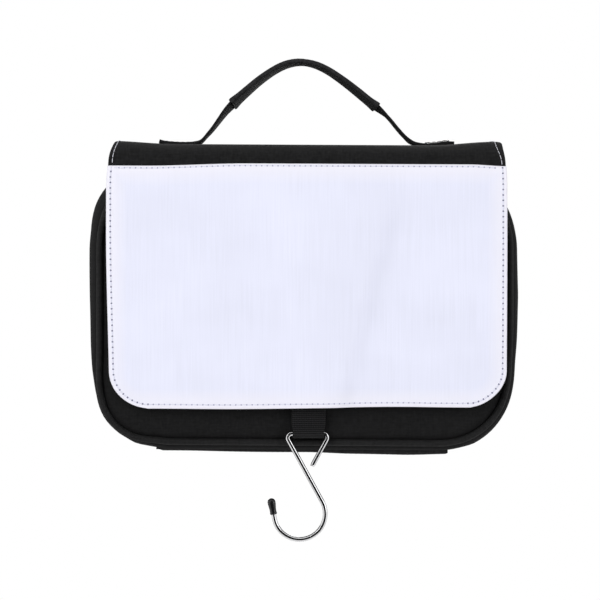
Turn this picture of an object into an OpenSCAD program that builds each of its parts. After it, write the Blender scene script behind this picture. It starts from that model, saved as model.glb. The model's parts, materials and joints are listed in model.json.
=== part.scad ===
// Hanging toiletry bag: a soft two-shell bag with a wrap-over flap, a carry handle and a hanging hook.
// Lengths are in millimetres. X runs across the bag, -Y faces the viewer and +Z is up.
// The sub-parts are drawn with Z = 0 under the base and the handle in the plane Y = 0.
// They are then placed so that the origin is under the middle of the carry grip.

/* [Shells] */
// Width over the side walls
shell_w = 254; // [230:1:290]
// Height of the side walls, without the base strip
shell_h = 168; // [150:1:200]
// Corner radius of the side walls, seen from the front
corner_r = 48; // [36:1:60]
// Depth from the zip line to the front seam
front_depth = 41; // [30:1:55]
// Depth from the zip line to the back seam
rear_depth = 21; // [18:1:30]
// How far the zip line lies behind the handle
zip_y = 10; // [4:1:14]
// Thickness of the padded side walls
wall_t = 2; // [1.4:0.1:3]
// Thickness of the lining
lining_t = 0.8; // [0.5:0.1:1.2]
// Radius of the piping in the front and back seams
piping_r = 3; // [2:0.1:4]
// Distance from the outside of the side wall in to the piping
piping_inset = 3; // [2:0.1:5]
// Thickness of the outer cloth panels with their facing
panel_t = 3; // [2:0.1:4]

/* [Zip] */
// How deep the zip lies below the side walls
zip_recess = 5.5; // [5:0.1:7]
// Width of one zip tape
tape_w = 5.8; // [5:0.1:8]
// Thickness of the zip tape
tape_t = 1; // [0.6:0.1:1.4]
// Width of one row of teeth
teeth_w = 1.5; // [1:0.1:2]
// Height of the teeth above the tape
teeth_h = 1.5; // [1:0.1:2]
// Gap between the two halves of the zip
zip_gap = 0.4; // [0.3:0.1:0.8]
// Width of a slider, across the zip
slider_w = 8; // [7:0.1:9]
// Length of a slider, along the zip
slider_l = 9; // [8:0.1:12]
// Thickness of a slider's body
slider_t = 2.4; // [2:0.1:3]
// Radius of the pin that holds a pull
pull_pin_r = 0.7; // [0.5:0.05:0.9]
// Length of a pull below its pin
pull_l = 18; // [14:0.5:24]
// Thickness of a pull
pull_t = 1.2; // [1:0.1:1.6]

/* [Base] */
// Length of the base strip
base_l = 176; // [150:1:200]
// Width of the base strip, centred on the zip line
base_w = 32; // [24:1:36]
// Thickness of the base strip
base_t = 2.7; // [2:0.1:4]

/* [Pocket] */
// Width of the mesh pocket inside the rear shell
pocket_w = 180; // [140:1:190]
// Height of the mesh pocket
pocket_h = 80; // [50:1:100]
// Room between the mesh and the lining
pocket_room = 2; // [1:0.1:3]
// Height of the elastic along the pocket's mouth
elastic_h = 8; // [5:0.5:12]

/* [Flap] */
// Width of the flap
flap_w = 235; // [200:1:250]
// Width of the top cover and of the flap's top edge
spine_w = 229; // [200:1:240]
// Height of the flap's lower edge above the underside of the base
flap_bottom = 28; // [24:0.5:40]
// Height of the white face of the flap
face_h = 143.5; // [120:0.5:146]
// Radius of the flap's lower corners
flap_r = 20.5; // [10:0.5:30]
// Gap between the front piping and the flap
flap_gap = 5; // [4:0.1:8]
// Room between the shells and the top cover
spine_room = 11.5; // [9:0.5:16]
// Thickness of the outer cloth of the flap and the top cover
cover_t = 1; // [0.8:0.1:1.4]
// Thickness of the stiffener in the flap and the top cover
board_t = 1.2; // [0.8:0.1:2]
// Distance from the edge of the flap to its stiffener
board_inset = 5; // [3:0.5:8]
// Thickness of the white face
face_t = 0.5; // [0.3:0.1:0.8]
// How far the flap's tail reaches down the back
yoke_h = 34; // [30:1:44]
// Height of the sewn hem of the flap's tail
hem_h = 8; // [5:0.5:12]
// Width of the sewn hem
hem_w = 176; // [140:1:184]

/* [Closure] */
// Width of a hook-and-loop pad
pad_w = 50; // [30:1:60]
// Height of a hook-and-loop pad
pad_h = 16; // [10:1:25]
// Distance of a pad's centre from the middle of the bag
pad_x = 62; // [48:1:72]
// Height of the pads above the flap's lower edge
pad_rise = 12; // [8:1:24]
// Thickness of the hook pads on the flap
hook_pad_t = 2.4; // [1.5:0.1:2.6]

/* [Handle] */
// Width of the handle webbing
handle_w = 20; // [16:0.5:25]
// Thickness of the handle webbing
handle_t = 1.8; // [1.2:0.1:2.4]
// Distance from the middle of the bag to the fold of each tab
fold_x = 63.8; // [58:0.2:72]
// Length of each sewn tab
tab_l = 26; // [18:0.5:32]
// Height of the grip's underside above the top cover
handle_rise = 50; // [44:0.5:60]
// Half the span of the grip
grip_half = 44.4; // [36:0.2:50]
// Width of the grip
grip_w = 24; // [22:0.5:27]
// Thickness of the grip
grip_t = 4.4; // [3.8:0.1:6]
// Slope that the arch tends to
arch_slope = 1.12; // [0.95:0.01:1.2]
// How round the top of the arch is
arch_round = 29; // [22:0.5:36]

/* [Hanger] */
// Width of the hanger webbing
strap_w = 20; // [14:0.5:25]
// Thickness of the hanger webbing
strap_t = 1.2; // [0.8:0.1:1.4]
// Distance from the flap's lower edge to the bar of the hook
strap_drop = 14; // [11:0.2:15]
// Length of the end that is sewn behind the flap
anchor_l = 30; // [20:1:45]
// Radius of the hook's wire
wire_r = 1.15; // [0.8:0.05:1.3]
// Bend radius at the two upper corners of the hook
eye_bend_r = 2.6; // [2.2:0.1:3.5]
// Height from the hook's bar to the centre of its bend
hook_l = 47; // [40:0.5:60]
// Radius of the hook's bend, at the middle of the wire
hook_r = 15.1; // [12:0.1:18]
// How far the centre of the bend lies left of the strap
hook_shift = 4.8; // [3:0.1:7]
// Lean of the hook's tip away from the bend
tip_lean = 10; // [0:1:20]
// Length of the straight tip
tip_l = 9; // [6:0.5:14]
// Outer radius of the tip's cap
tip_r = 2.3; // [1.8:0.1:3]
// Length of the free end of the eye
eye_end_l = 18; // [12:0.5:20]

/* [Hidden] */
$fn = 48;

// Clearance between pieces that lie on each other
fit = 0.2;
// Clearance at a cloth fold and between soft faces that move
fold_fit = 0.3;
// Running clearance of a pin or bar in its loop
pin_fit = 0.05;
// Spare length of a cutting shape
cut = 1;
// Each straight wire stops this short of a bend, inside a weld that stands this proud of the wire
weld_gap = 0.05;
weld_proud = 0.04;

// Seam planes, zip edges and the faces of the front and the back
front_y = zip_y - front_depth;
rear_y = zip_y + rear_depth;
zip_edge = tape_w + zip_gap / 2;
front_zip_y = zip_y - zip_edge;
rear_zip_y = zip_y + zip_edge;
panel_inset = piping_inset + 2 * piping_r + fit;
panel_proud = 2 * piping_r - fold_fit;
front_face_y = front_y - panel_proud;
rear_face_y = rear_y + panel_proud;
shell_mid_z = base_t + shell_h / 2;
shell_top_z = base_t + shell_h;
side_x = shell_w / 2;

// Flap and top cover
flap_t = cover_t + board_t + lining_t;
flap_in_y = front_y - 2 * piping_r - flap_gap;
flap_out_y = flap_in_y - flap_t;
spine_z = shell_top_z + spine_room;
spine_top_z = spine_z + flap_t;
yoke_y = rear_y + 2 * piping_r + fold_fit;
face_top_z = flap_bottom + face_h;
flap_top_z = spine_z - fold_fit;

// Handle
grip_z = spine_top_z + handle_rise;
arch_z = grip_z + grip_t / 2;
fold_z = spine_top_z + handle_t;
// The webbing's neck widens at this rate, so that it clears the top cover as the handle swings
neck_half = 0.8;
neck_rate = 0.594;
neck_h = (handle_w / 2 - neck_half) / neck_rate;

// Hanger and hook
loop_r = wire_r + pin_fit;
strap_half = loop_r + strap_t;
strap_y = flap_in_y + fit + strap_half;
strap_top_z = flap_bottom - fold_fit;
bar_z = flap_bottom - strap_drop;
eye_half = strap_w / 2;
hook_c = [-hook_shift, -hook_l];
eye_c = [-eye_half, -eye_bend_r];
leg_d = eye_c - hook_c;
leg_a = atan2(leg_d[1], leg_d[0]) + asin((hook_r + eye_bend_r) / norm(leg_d));
tip_a = 180 + tip_lean;

// Zip sliders
slider_x = side_x - zip_recess + teeth_h + fit;
bridge_t = 2 * pull_pin_r + 1;
pull_x = slider_x + slider_t + bridge_t / 2;
bridge_w = 2.4;
bridge_l = 4;
slider_z = base_t + corner_r + slider_l / 2 + fold_fit;
ear_t = 1;

// Front view of the shells, drawn in from the side walls by an inset
module shell_outline(inset) {
    w = shell_w - 2 * inset;
    h = shell_h - 2 * inset;
    r = corner_r - inset;
    translate([0, shell_mid_z]) {
        square([w - 2 * r, h], center = true);
        square([w, h - 2 * r], center = true);
        for (sx = [-1, 1], sz = [-1, 1])
            translate([sx * (w / 2 - r), sz * (h / 2 - r)]) circle(r);
    }
}

// A front view drawn at full depth between two values of Y, in either order
module slab(ya, yb) {
    translate([0, max(ya, yb), 0]) rotate([90, 0, 0]) linear_extrude(abs(yb - ya)) children();
}

// A closed band round the shells, between two insets
module band(ya, yb, outer_inset, inner_inset) {
    difference() {
        slab(ya, yb) shell_outline(outer_inset);
        slab(min(ya, yb) - cut, max(ya, yb) + cut) shell_outline(inner_inset);
    }
}

// Side wall of one shell, with a flange at its seam and another beside the zip
module side_wall(seam_y, zip_side_y) {
    s = sign(zip_side_y - seam_y);
    difference() {
        slab(seam_y, zip_side_y) shell_outline(0);
        slab(seam_y + s * wall_t, zip_side_y - s * wall_t) shell_outline(wall_t);
        slab(seam_y - s * cut, seam_y + s * (wall_t + cut)) shell_outline(panel_inset);
        slab(zip_side_y - s * (wall_t + cut), zip_side_y + s * cut) shell_outline(zip_recess + tape_t);
    }
}

// Piping: a round bead that follows the seam
module piping(y) {
    inset = piping_inset + piping_r;
    run_x = side_x - corner_r;
    run_z = shell_h / 2 - corner_r;
    translate([0, y, shell_mid_z]) {
        for (sz = [-1, 1])
            translate([-run_x, 0, sz * (shell_h / 2 - inset)]) rotate([0, 90, 0])
                cylinder(r = piping_r, h = 2 * run_x);
        for (sx = [-1, 1])
            translate([sx * (side_x - inset), 0, -run_z]) cylinder(r = piping_r, h = 2 * run_z);
        for (i = [0:3])
            rotate([0, -90 * i, 0])
                translate([i % 2 == 0 ? run_x : run_z, 0, i % 2 == 0 ? run_z : run_x]) rotate([90, 0, 0])
                    rotate_extrude(angle = 90) translate([corner_r - inset, 0]) circle(piping_r);
    }
}

// Outer cloth of the front or the back, and the foam behind it
module face_panel(face_y, s) {
    slab(face_y, face_y + s * panel_t) shell_outline(panel_inset);
}

module face_foam(face_y, seam_y, s) {
    slab(face_y + s * (panel_t + fit), seam_y + s * wall_t) shell_outline(panel_inset);
}

// Lining: a shallow tub inside one shell
module tub(seam_y, zip_side_y) {
    s = sign(zip_side_y - seam_y);
    bottom_y = seam_y + s * (wall_t + fit);
    difference() {
        slab(bottom_y, zip_side_y - s * (wall_t + fit)) shell_outline(wall_t + fit);
        slab(bottom_y + s * lining_t, zip_side_y) shell_outline(wall_t + fit + lining_t);
    }
}

// A zip runs round the sides and the top, and stops at the ends of the base strip
module without_base() {
    difference() {
        children();
        translate([-base_l / 2, zip_y - front_depth, -cut])
            cube([base_l, front_depth + rear_depth, corner_r + cut]);
    }
}

module zip_tape(s) {
    without_base()
        band(zip_y + s * zip_gap / 2, zip_y + s * zip_edge, zip_recess, zip_recess + tape_t);
}

module zip_teeth(s) {
    without_base()
        band(zip_y + s * zip_gap / 2, zip_y + s * (zip_gap / 2 + teeth_w), zip_recess - teeth_h, zip_recess);
}

// Half of the base strip, on one side of the zip line
module base_strip(s) {
    leaf_w = (base_w - zip_gap) / 2;
    translate([-base_l / 2, zip_y + (s > 0 ? zip_gap / 2 : -base_w / 2), 0]) cube([base_l, leaf_w, base_t]);
}

module back_panel() { color("#202022") face_panel(rear_face_y, -1); }

module back_foam() { color("#4a4a4c") face_foam(rear_face_y, rear_y, -1); }

module back_piping() { color("#2c2c2e") piping(rear_y + piping_r); }

module rear_gusset() { color("#1f1f21") side_wall(rear_y, rear_zip_y); }

module rear_lining() { color("#58585c") tub(rear_y, rear_zip_y); }

module zip_tape_rear() { color("#19191a") zip_tape(1); }

module zip_teeth_rear() { color("#303032") zip_teeth(1); }

module base_strip_rear() { color("#242426") base_strip(1); }

// Mesh pocket on the rear lining: a shallow tray that is open at the top
module mesh_pocket() {
    lining_y = rear_y - wall_t - fit - lining_t - fit;
    mesh_y = lining_y - pocket_room - lining_t;
    low_z = shell_mid_z - pocket_h / 2;
    color("#3a3a3d") difference() {
        translate([-pocket_w / 2, mesh_y, low_z]) cube([pocket_w, lining_t + pocket_room, pocket_h]);
        translate([-pocket_w / 2 + wall_t, mesh_y + lining_t, low_z + wall_t])
            cube([pocket_w - 2 * wall_t, pocket_room + cut, pocket_h]);
    }
}

module pocket_elastic() {
    mesh_y = rear_y - wall_t - 2 * fit - 2 * lining_t - pocket_room;
    color("#202022") translate([-pocket_w / 2, mesh_y, shell_mid_z + pocket_h / 2])
        cube([pocket_w, lining_t, elastic_h]);
}

// Tail of the flap: it is sewn to the back panel and rises to the fold of the top cover
module flap_yoke() {
    hem_z = spine_z - fold_fit - yoke_h;
    color("#222224") {
        translate([-spine_w / 2, yoke_y, hem_z]) cube([spine_w, flap_t, yoke_h]);
        translate([-hem_w / 2, rear_face_y, hem_z]) cube([hem_w, yoke_y - rear_face_y, hem_h]);
    }
}

module front_panel() { color("#202022") face_panel(front_face_y, 1); }

module front_foam() { color("#4a4a4c") face_foam(front_face_y, front_y, 1); }

module front_piping() { color("#2c2c2e") piping(front_y - piping_r); }

module front_gusset() { color("#1f1f21") side_wall(front_y, front_zip_y); }

module front_lining() { color("#58585c") tub(front_y, front_zip_y); }

module zip_tape_front() { color("#19191a") zip_tape(-1); }

module zip_teeth_front() { color("#303032") zip_teeth(-1); }

module base_strip_front() { color("#242426") base_strip(-1); }

// Two pads of the hook-and-loop closure, between two values of Y
module pads(ya, yb) {
    for (sx = [-1, 1])
        translate([sx * pad_x - pad_w / 2, ya, flap_bottom + pad_rise]) cube([pad_w, yb - ya, pad_h]);
}

module loop_pads() { color("#18181a") pads(flap_in_y + hook_pad_t + fold_fit, front_face_y); }

module hook_pads() { color("#141415") pads(flap_in_y, flap_in_y + hook_pad_t); }

// Layers of the top cover, from the flap's fold to the yoke's fold
module spine_layer(z, t, inset) {
    translate([-spine_w / 2 + inset, flap_in_y + inset, z])
        cube([spine_w - 2 * inset, yoke_y - flap_in_y - 2 * inset, t]);
}

module spine_lining() { color("#2a2a2c") spine_layer(spine_z, lining_t, 0); }

module spine_board() { color("#6a6a6c") spine_layer(spine_z + lining_t, board_t, board_inset); }

module spine_cover() { color("#232325") spine_layer(spine_z + lining_t + board_t, cover_t, 0); }

// Front view of the flap below the fold, with its round lower corners
module flap_front(inset, top_z) {
    half = flap_w / 2 - inset;
    low_z = flap_bottom + inset;
    r = flap_r - inset;
    for (sx = [-1, 1]) translate([sx * (half - r), low_z + r]) circle(r);
    translate([-half + r, low_z]) square([2 * (half - r), r]);
    translate([-half, low_z + r]) square([2 * half, top_z - low_z - r]);
}

// Front view of the whole flap, which narrows above the white face
module flap_outline(inset) {
    half = flap_w / 2 - inset;
    top_half = spine_w / 2 - inset;
    top_z = flap_top_z - inset;
    flap_front(inset, face_top_z);
    polygon([[-half, face_top_z], [half, face_top_z], [top_half, top_z], [-top_half, top_z]]);
}

module flap_cover() { color("#232325") slab(flap_out_y, flap_out_y + cover_t) flap_outline(0); }

module flap_board() {
    color("#6a6a6c") slab(flap_out_y + cover_t, flap_out_y + cover_t + board_t) flap_outline(board_inset);
}

module flap_lining() { color("#2a2a2c") slab(flap_in_y - lining_t, flap_in_y) flap_outline(0); }

module flap_face() {
    color("#e9eaf6") slab(flap_out_y - face_t, flap_out_y) flap_front(0, face_top_z);
}

// Sewn tab of the handle, flat on the top cover
module handle_tab(s) {
    translate([s > 0 ? fold_x : -fold_x - tab_l, -handle_w / 2, spine_top_z]) cube([tab_l, handle_w, handle_t]);
}

module handle_tab_left() { color("#1d1d1f") handle_tab(-1); }

module handle_tab_right() { color("#1d1d1f") handle_tab(1); }

// Middle line of the handle: an arch under the grip and a straight run down to each fold
function arch_height(x) = arch_z - arch_slope * (sqrt(x * x + arch_round * arch_round) - arch_round);
function arch_tilt(x) = -arch_slope * x / sqrt(x * x + arch_round * arch_round);
function run_tilt() = (arch_height(grip_half) - fold_z) / (fold_x - grip_half);
function handle_height(x) = abs(x) <= grip_half ? arch_height(x) : fold_z + run_tilt() * (fold_x - abs(x));
function handle_tilt(x) = abs(x) <= grip_half ? arch_tilt(x) : -sign(x) * run_tilt();
function handle_side(x, off) =
    let (m = handle_tilt(x), k = off / sqrt(1 + m * m)) [x - k * m, handle_height(x) + k];

// A strip that follows the middle line of the handle, drawn as its front view
module handle_strip(half, t, steps) {
    xs = [for (i = [0:steps]) -half + 2 * half * i / steps];
    back = [for (i = [steps:-1:0]) xs[i]];
    polygon(concat([for (x = xs) handle_side(x, t / 2)], [for (x = back) handle_side(x, -t / 2)]));
}

// The webbing narrows to a neck at each fold, where it twists as the handle swings
module handle_strap() {
    half = handle_w / 2;
    top_z = arch_z + grip_t;
    neck = [[-neck_half, fold_z], [neck_half, fold_z], [half, fold_z + neck_h], [half, top_z],
        [-half, top_z], [-half, fold_z + neck_h]];
    color("#1d1d1f") intersection() {
        slab(-handle_w / 2, handle_w / 2) handle_strip(fold_x, handle_t, 60);
        translate([fold_fit - fold_x, 0, 0]) rotate([90, 0, 90])
            linear_extrude(2 * (fold_x - fold_fit)) polygon(neck);
    }
}

module handle_grip() {
    color("#262628") difference() {
        slab(-grip_w / 2, grip_w / 2) handle_strip(grip_half, grip_t, 40);
        slab(-handle_w / 2 - fit, handle_w / 2 + fit) handle_strip(grip_half + cut, handle_t + 2 * fit, 44);
    }
}

// End of the hanger webbing, two layers sewn behind the flap
module strap_anchor() {
    color("#1a1a1c") translate([-strap_w / 2, flap_in_y, flap_bottom]) cube([strap_w, 2 * strap_t, anchor_l]);
}

// Free loop of the hanger webbing, sewn shut above the hook's bar
module hanger_strap() {
    sewn_z = strap_top_z - 2 * strap_t;
    color("#1a1a1c") translate([-strap_w / 2, 0, 0]) rotate([90, 0, 90]) linear_extrude(strap_w)
        difference() {
            union() {
                translate([strap_y, bar_z]) circle(strap_half);
                translate([strap_y - strap_half, bar_z]) square([2 * strap_half, strap_top_z - bar_z]);
            }
            translate([strap_y, bar_z]) circle(loop_r);
            translate([strap_y - loop_r, bar_z]) square([2 * loop_r, sewn_z - bar_z]);
        }
}

// Straight rod between two points of the hook's plane, cut short by a gap at both ends
module rod(a, b, r, gap) {
    d = b - a;
    translate([a[0], 0, a[1]]) rotate([0, atan2(d[0], d[1]), 0])
        translate([0, 0, gap]) cylinder(r = r, h = norm(d) - 2 * gap);
}

module wire(a, b) { rod(a, b, wire_r, weld_gap); }

// Join between a straight wire and a bend, with its poles along the wire
module weld(p, d) {
    translate([p[0], 0, p[1]]) rotate([0, atan2(d[0], d[1]), 0]) sphere(wire_r + weld_proud);
}

// Bent wire round a centre, from one angle through a sweep
module wire_bend(c, r, from, sweep) {
    translate([c[0], 0, c[1]]) rotate([90, 0, 0]) rotate([0, 0, from])
        rotate_extrude(angle = sweep) translate([r, 0]) circle(wire_r);
}

function polar(r, a) = [r * cos(a), r * sin(a)];

// Ends of the hook's straight runs, from the bar at the origin of its plane
leg_low = hook_c + polar(hook_r, leg_a - 90);
leg_high = eye_c + polar(eye_bend_r, leg_a + 90);
free_high = [-leg_high[0], leg_high[1]];
free_low = free_high + polar(eye_end_l, -leg_a);
tip_low = hook_c + polar(hook_r, tip_a);
tip_high = tip_low + polar(tip_l, 90 + tip_lean);

module in_hook_plane() { translate([0, strap_y, bar_z]) children(); }

module hook_wire() {
    color("#c9ccd2") in_hook_plane() {
        for (sx = [-1, 1]) weld([sx * eye_half, 0], [1, 0]);
        weld(leg_high, leg_high - leg_low);
        weld(leg_low, leg_high - leg_low);
        weld(free_high, free_high - free_low);
        weld(tip_low, tip_high - tip_low);
        wire([-eye_half, 0], [eye_half, 0]);
        wire_bend(eye_c, eye_bend_r, 90, leg_a);
        wire_bend([eye_half, -eye_bend_r], eye_bend_r, 90 - leg_a, leg_a);
        wire(free_low, free_high);
        wire(leg_low, leg_high);
        wire_bend(hook_c, hook_r, tip_a, leg_a + 270 - tip_a);
        wire(tip_low, tip_high);
    }
}

// Soft cap on the tip of the hook, with a blind hole for the wire
module hook_tip() {
    bore_r = wire_r + pin_fit;
    color("#141416") in_hook_plane() translate([tip_low[0], 0, tip_low[1]]) rotate([0, -tip_lean, 0])
        rotate_extrude() {
            translate([bore_r, 0]) square([tip_r - bore_r, tip_l + pin_fit]);
            translate([0, tip_l + pin_fit]) intersection() {
                circle(tip_r);
                square(tip_r);
            }
        }
}

// Zip slider, made for the right side: a body over both rows of teeth and a bridge for the pull
module slider() {
    translate([slider_x, zip_y, slider_z]) difference() {
        union() {
            translate([0, -slider_w / 2, -slider_l / 2]) cube([slider_t, slider_w, slider_l]);
            translate([slider_t, -bridge_w / 2, -bridge_l / 2]) cube([bridge_t, bridge_w, bridge_l]);
        }
        translate([slider_t + bridge_t / 2, bridge_w, 0]) rotate([90, 0, 0])
            cylinder(r = pull_pin_r + pin_fit, h = 2 * bridge_w);
    }
}

// Pull, made for the right side: two ears and a pin through the bridge, with a flat tab below
module pull() {
    ear_y = bridge_w / 2 + fit;
    half_w = ear_y + ear_t;
    tab_top = -norm([bridge_l, bridge_t]) / 2 - fold_fit;
    translate([pull_x, zip_y, slider_z]) {
        translate([0, half_w, 0]) rotate([90, 0, 0]) cylinder(r = pull_pin_r, h = 2 * half_w);
        for (s = [-1, 1]) {
            translate([-pull_t / 2, s > 0 ? ear_y : -half_w, tab_top - ear_t])
                cube([pull_t, ear_t, ear_t - tab_top + pull_pin_r]);
        }
        translate([-pull_t / 2, -half_w, -pull_l]) cube([pull_t, 2 * half_w, pull_l + tab_top]);
    }
}

module zip_slider_left() { color("#2b2b2d") mirror([1, 0, 0]) slider(); }

module zip_slider_right() { color("#2b2b2d") slider(); }

module zip_pull_left() { color("#3a3a3c") mirror([1, 0, 0]) pull(); }

module zip_pull_right() { color("#3a3a3c") pull(); }

// Places a sub-part so that the origin is under the middle of the carry grip
module held() { translate([0, 0, -grip_z]) children(); }

held() back_panel();
held() back_foam();
held() back_piping();
held() rear_gusset();
held() rear_lining();
held() zip_tape_rear();
held() zip_teeth_rear();
held() base_strip_rear();
held() mesh_pocket();
held() pocket_elastic();
held() flap_yoke();
held() front_panel();
held() front_foam();
held() front_piping();
held() front_gusset();
held() front_lining();
held() zip_tape_front();
held() zip_teeth_front();
held() base_strip_front();
held() loop_pads();
held() spine_cover();
held() spine_board();
held() spine_lining();
held() handle_tab_left();
held() handle_tab_right();
held() handle_strap();
held() handle_grip();
held() flap_cover();
held() flap_board();
held() flap_lining();
held() flap_face();
held() hook_pads();
held() strap_anchor();
held() hanger_strap();
held() hook_wire();
held() hook_tip();
held() zip_slider_left();
held() zip_slider_right();
held() zip_pull_left();
held() zip_pull_right();
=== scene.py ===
"""Looks of a hanging toiletry bag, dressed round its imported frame.

The forms are worked out in millimetres, with X across the bag, -Y to the viewer and Z above the underside
of the base strip. A piece is moved to the frame's origin and to metres when its mesh is made.
"""

import json
import math

import bpy
import numpy as np
from bpy.props import FloatProperty, FloatVectorProperty, PointerProperty
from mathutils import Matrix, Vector


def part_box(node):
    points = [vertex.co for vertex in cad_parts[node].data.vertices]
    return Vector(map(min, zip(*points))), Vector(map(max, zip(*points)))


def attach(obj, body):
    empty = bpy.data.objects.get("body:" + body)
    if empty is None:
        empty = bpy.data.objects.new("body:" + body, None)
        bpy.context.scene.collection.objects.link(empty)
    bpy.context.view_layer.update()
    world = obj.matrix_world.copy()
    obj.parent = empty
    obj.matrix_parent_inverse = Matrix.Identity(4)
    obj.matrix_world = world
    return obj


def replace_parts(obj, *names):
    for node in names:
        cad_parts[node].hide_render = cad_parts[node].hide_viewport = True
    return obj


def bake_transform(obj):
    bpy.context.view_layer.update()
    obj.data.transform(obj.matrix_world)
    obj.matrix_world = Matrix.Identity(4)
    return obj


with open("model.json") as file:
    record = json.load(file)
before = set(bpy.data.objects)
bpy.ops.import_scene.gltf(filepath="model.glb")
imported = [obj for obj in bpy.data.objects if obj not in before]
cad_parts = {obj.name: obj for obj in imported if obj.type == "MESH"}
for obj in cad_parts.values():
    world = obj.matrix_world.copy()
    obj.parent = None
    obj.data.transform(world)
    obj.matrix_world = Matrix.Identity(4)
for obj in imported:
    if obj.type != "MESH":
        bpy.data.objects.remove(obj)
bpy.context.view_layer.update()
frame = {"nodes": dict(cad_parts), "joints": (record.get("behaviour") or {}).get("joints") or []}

bl_info = {
    "name": "Hanging toiletry bag",
    "version": (1, 0, 0),
    "blender": (4, 5, 0),
    "location": "View3D > Sidebar > Toiletry bag",
    "description": "Builds the cloth, webbing, zip and hook of a hanging toiletry bag round its frame",
    "category": "Object",
}

MM = 0.001
TURN = 2 * math.pi
BASE_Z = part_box("base_strip_front")[0].z


def corners(node):
    """Lowest and highest corner of a frame node, in millimetres above the underside of the base."""
    shift = Vector((0, 0, BASE_Z))
    return [np.array((c - shift) / MM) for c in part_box(node)]


def row_point(x, y, z):
    """A point of the bag, in the frame's metres."""
    return (x * MM, y * MM, z * MM + BASE_Z)


def pin(joint):
    """A joint's place, in millimetres above the underside of the base."""
    x, y, z = JOINTS[joint]["pos_m"]
    return np.array([x, y, z - BASE_Z]) / MM


FRONT_WALL = corners("front_gusset")
REAR_WALL = corners("rear_gusset")
FLAP_BOX = corners("flap_cover")
SPINE_BOX = corners("spine_cover")
YOKE_BOX = corners("flap_yoke")
FACE_BOX = corners("flap_face")
ANCHOR_BOX = corners("strap_anchor")
STRAP_BOX = corners("hanger_strap")
POCKET_BOX = corners("mesh_pocket")
ELASTIC_BOX = corners("pocket_elastic")
SLIDER_BOX = corners("zip_slider_right")
BASE_FRONT = corners("base_strip_front")
BASE_REAR = corners("base_strip_rear")
JOINTS = {j["name"]: j for j in frame["joints"]}

HALF_W = FRONT_WALL[1][0]
WALL_LOW = FRONT_WALL[0][2]
WALL_HIGH = FRONT_WALL[1][2]
MID_Z = (WALL_LOW + WALL_HIGH) / 2
FRONT_Y = FRONT_WALL[0][1]
REAR_Y = REAR_WALL[1][1]
ZIP_Y = (FRONT_WALL[1][1] + REAR_WALL[0][1]) / 2
ZIP_HALF = (REAR_WALL[0][1] - FRONT_WALL[1][1]) / 2
FLAP_Y = FLAP_BOX[0][1]
FLAP_LOW = FLAP_BOX[0][2]
FACE_TOP = FACE_BOX[1][2]
FACE_HIGH = FACE_TOP - FLAP_LOW
FACE_ROUND = 22.0
COVER_TOP = SPINE_BOX[1][2]
BACK_Y = YOKE_BOX[1][1]
YOKE_LOW = YOKE_BOX[0][2]
WEBBING_RIB = 1.21


class BagSizes(bpy.types.PropertyGroup):
    """Sizes of the bag's soft forms and of its stitching."""

    corner: FloatProperty(
        name="Corner radius", description="Radius of the shells' corners, seen from the front",
        default=0.048, min=0.03, max=0.06, unit="LENGTH",
    )
    bulge: FloatProperty(
        name="Wall bulge", description="How far the padded side walls swell past the frame",
        default=0.003, min=0.0, max=0.006, unit="LENGTH",
    )
    bead: FloatProperty(
        name="Bead radius", description="Radius of the piping in the front and back seams",
        default=0.00195, min=0.001, max=0.003, unit="LENGTH",
    )
    crown: FloatProperty(
        name="Panel crown", description="How far the front and back panels rise from their seams",
        default=0.0057, min=0.002, max=0.009, unit="LENGTH",
    )
    fold: FloatProperty(
        name="Fold radius", description="Radius of the cover's folds over the top edges",
        default=0.012, min=0.006, max=0.016, unit="LENGTH",
    )
    cover: FloatProperty(
        name="Cover thickness", description="Thickness of the flap and of the top cover",
        default=0.0024, min=0.0015, max=0.003, unit="LENGTH",
    )
    stitch: FloatProperty(
        name="Stitch pitch", description="Distance from one stitch to the next",
        default=0.0032, min=0.002, max=0.005, unit="LENGTH",
    )
    wire: FloatProperty(
        name="Wire radius", description="Radius of the hook's wire",
        default=0.00136, min=0.0008, max=0.0015, unit="LENGTH",
    )


class BagColours(bpy.types.PropertyGroup):
    """Colours of the bag's finishes."""

    cloth: FloatVectorProperty(
        name="Cloth", description="Woven cloth of the shells and the cover",
        default=(0.0092, 0.0092, 0.0096), subtype="COLOR", min=0.0, max=1.0,
    )
    face: FloatVectorProperty(
        name="Face", description="Pale woven face of the flap",
        default=(0.80, 0.815, 0.955), subtype="COLOR", min=0.0, max=1.0,
    )
    thread: FloatVectorProperty(
        name="Thread", description="Sewing thread of the flap",
        default=(0.72, 0.72, 0.78), subtype="COLOR", min=0.0, max=1.0,
    )
    webbing: FloatVectorProperty(
        name="Webbing", description="Webbing of the handle and of the hanger",
        default=(0.0095, 0.0095, 0.0100), subtype="COLOR", min=0.0, max=1.0,
    )
    lining: FloatVectorProperty(
        name="Lining", description="Thin cloth inside the shells and the cover",
        default=(0.035, 0.035, 0.038), subtype="COLOR", min=0.0, max=1.0,
    )
    metal: FloatVectorProperty(
        name="Hook metal", description="Plated wire of the hook",
        default=(0.78, 0.78, 0.79), subtype="COLOR", min=0.0, max=1.0,
    )


def sizes():
    """The bag's sizes, in millimetres, as a plain object."""
    group = bpy.context.scene.toiletry_bag_sizes
    made = {key: getattr(group, key) / MM for key in BagSizes.__annotations__}
    return type("Sizes", (), made)


def colours():
    """The bag's colours."""
    return bpy.context.scene.toiletry_bag_colours


# Shader values and finishes


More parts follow.
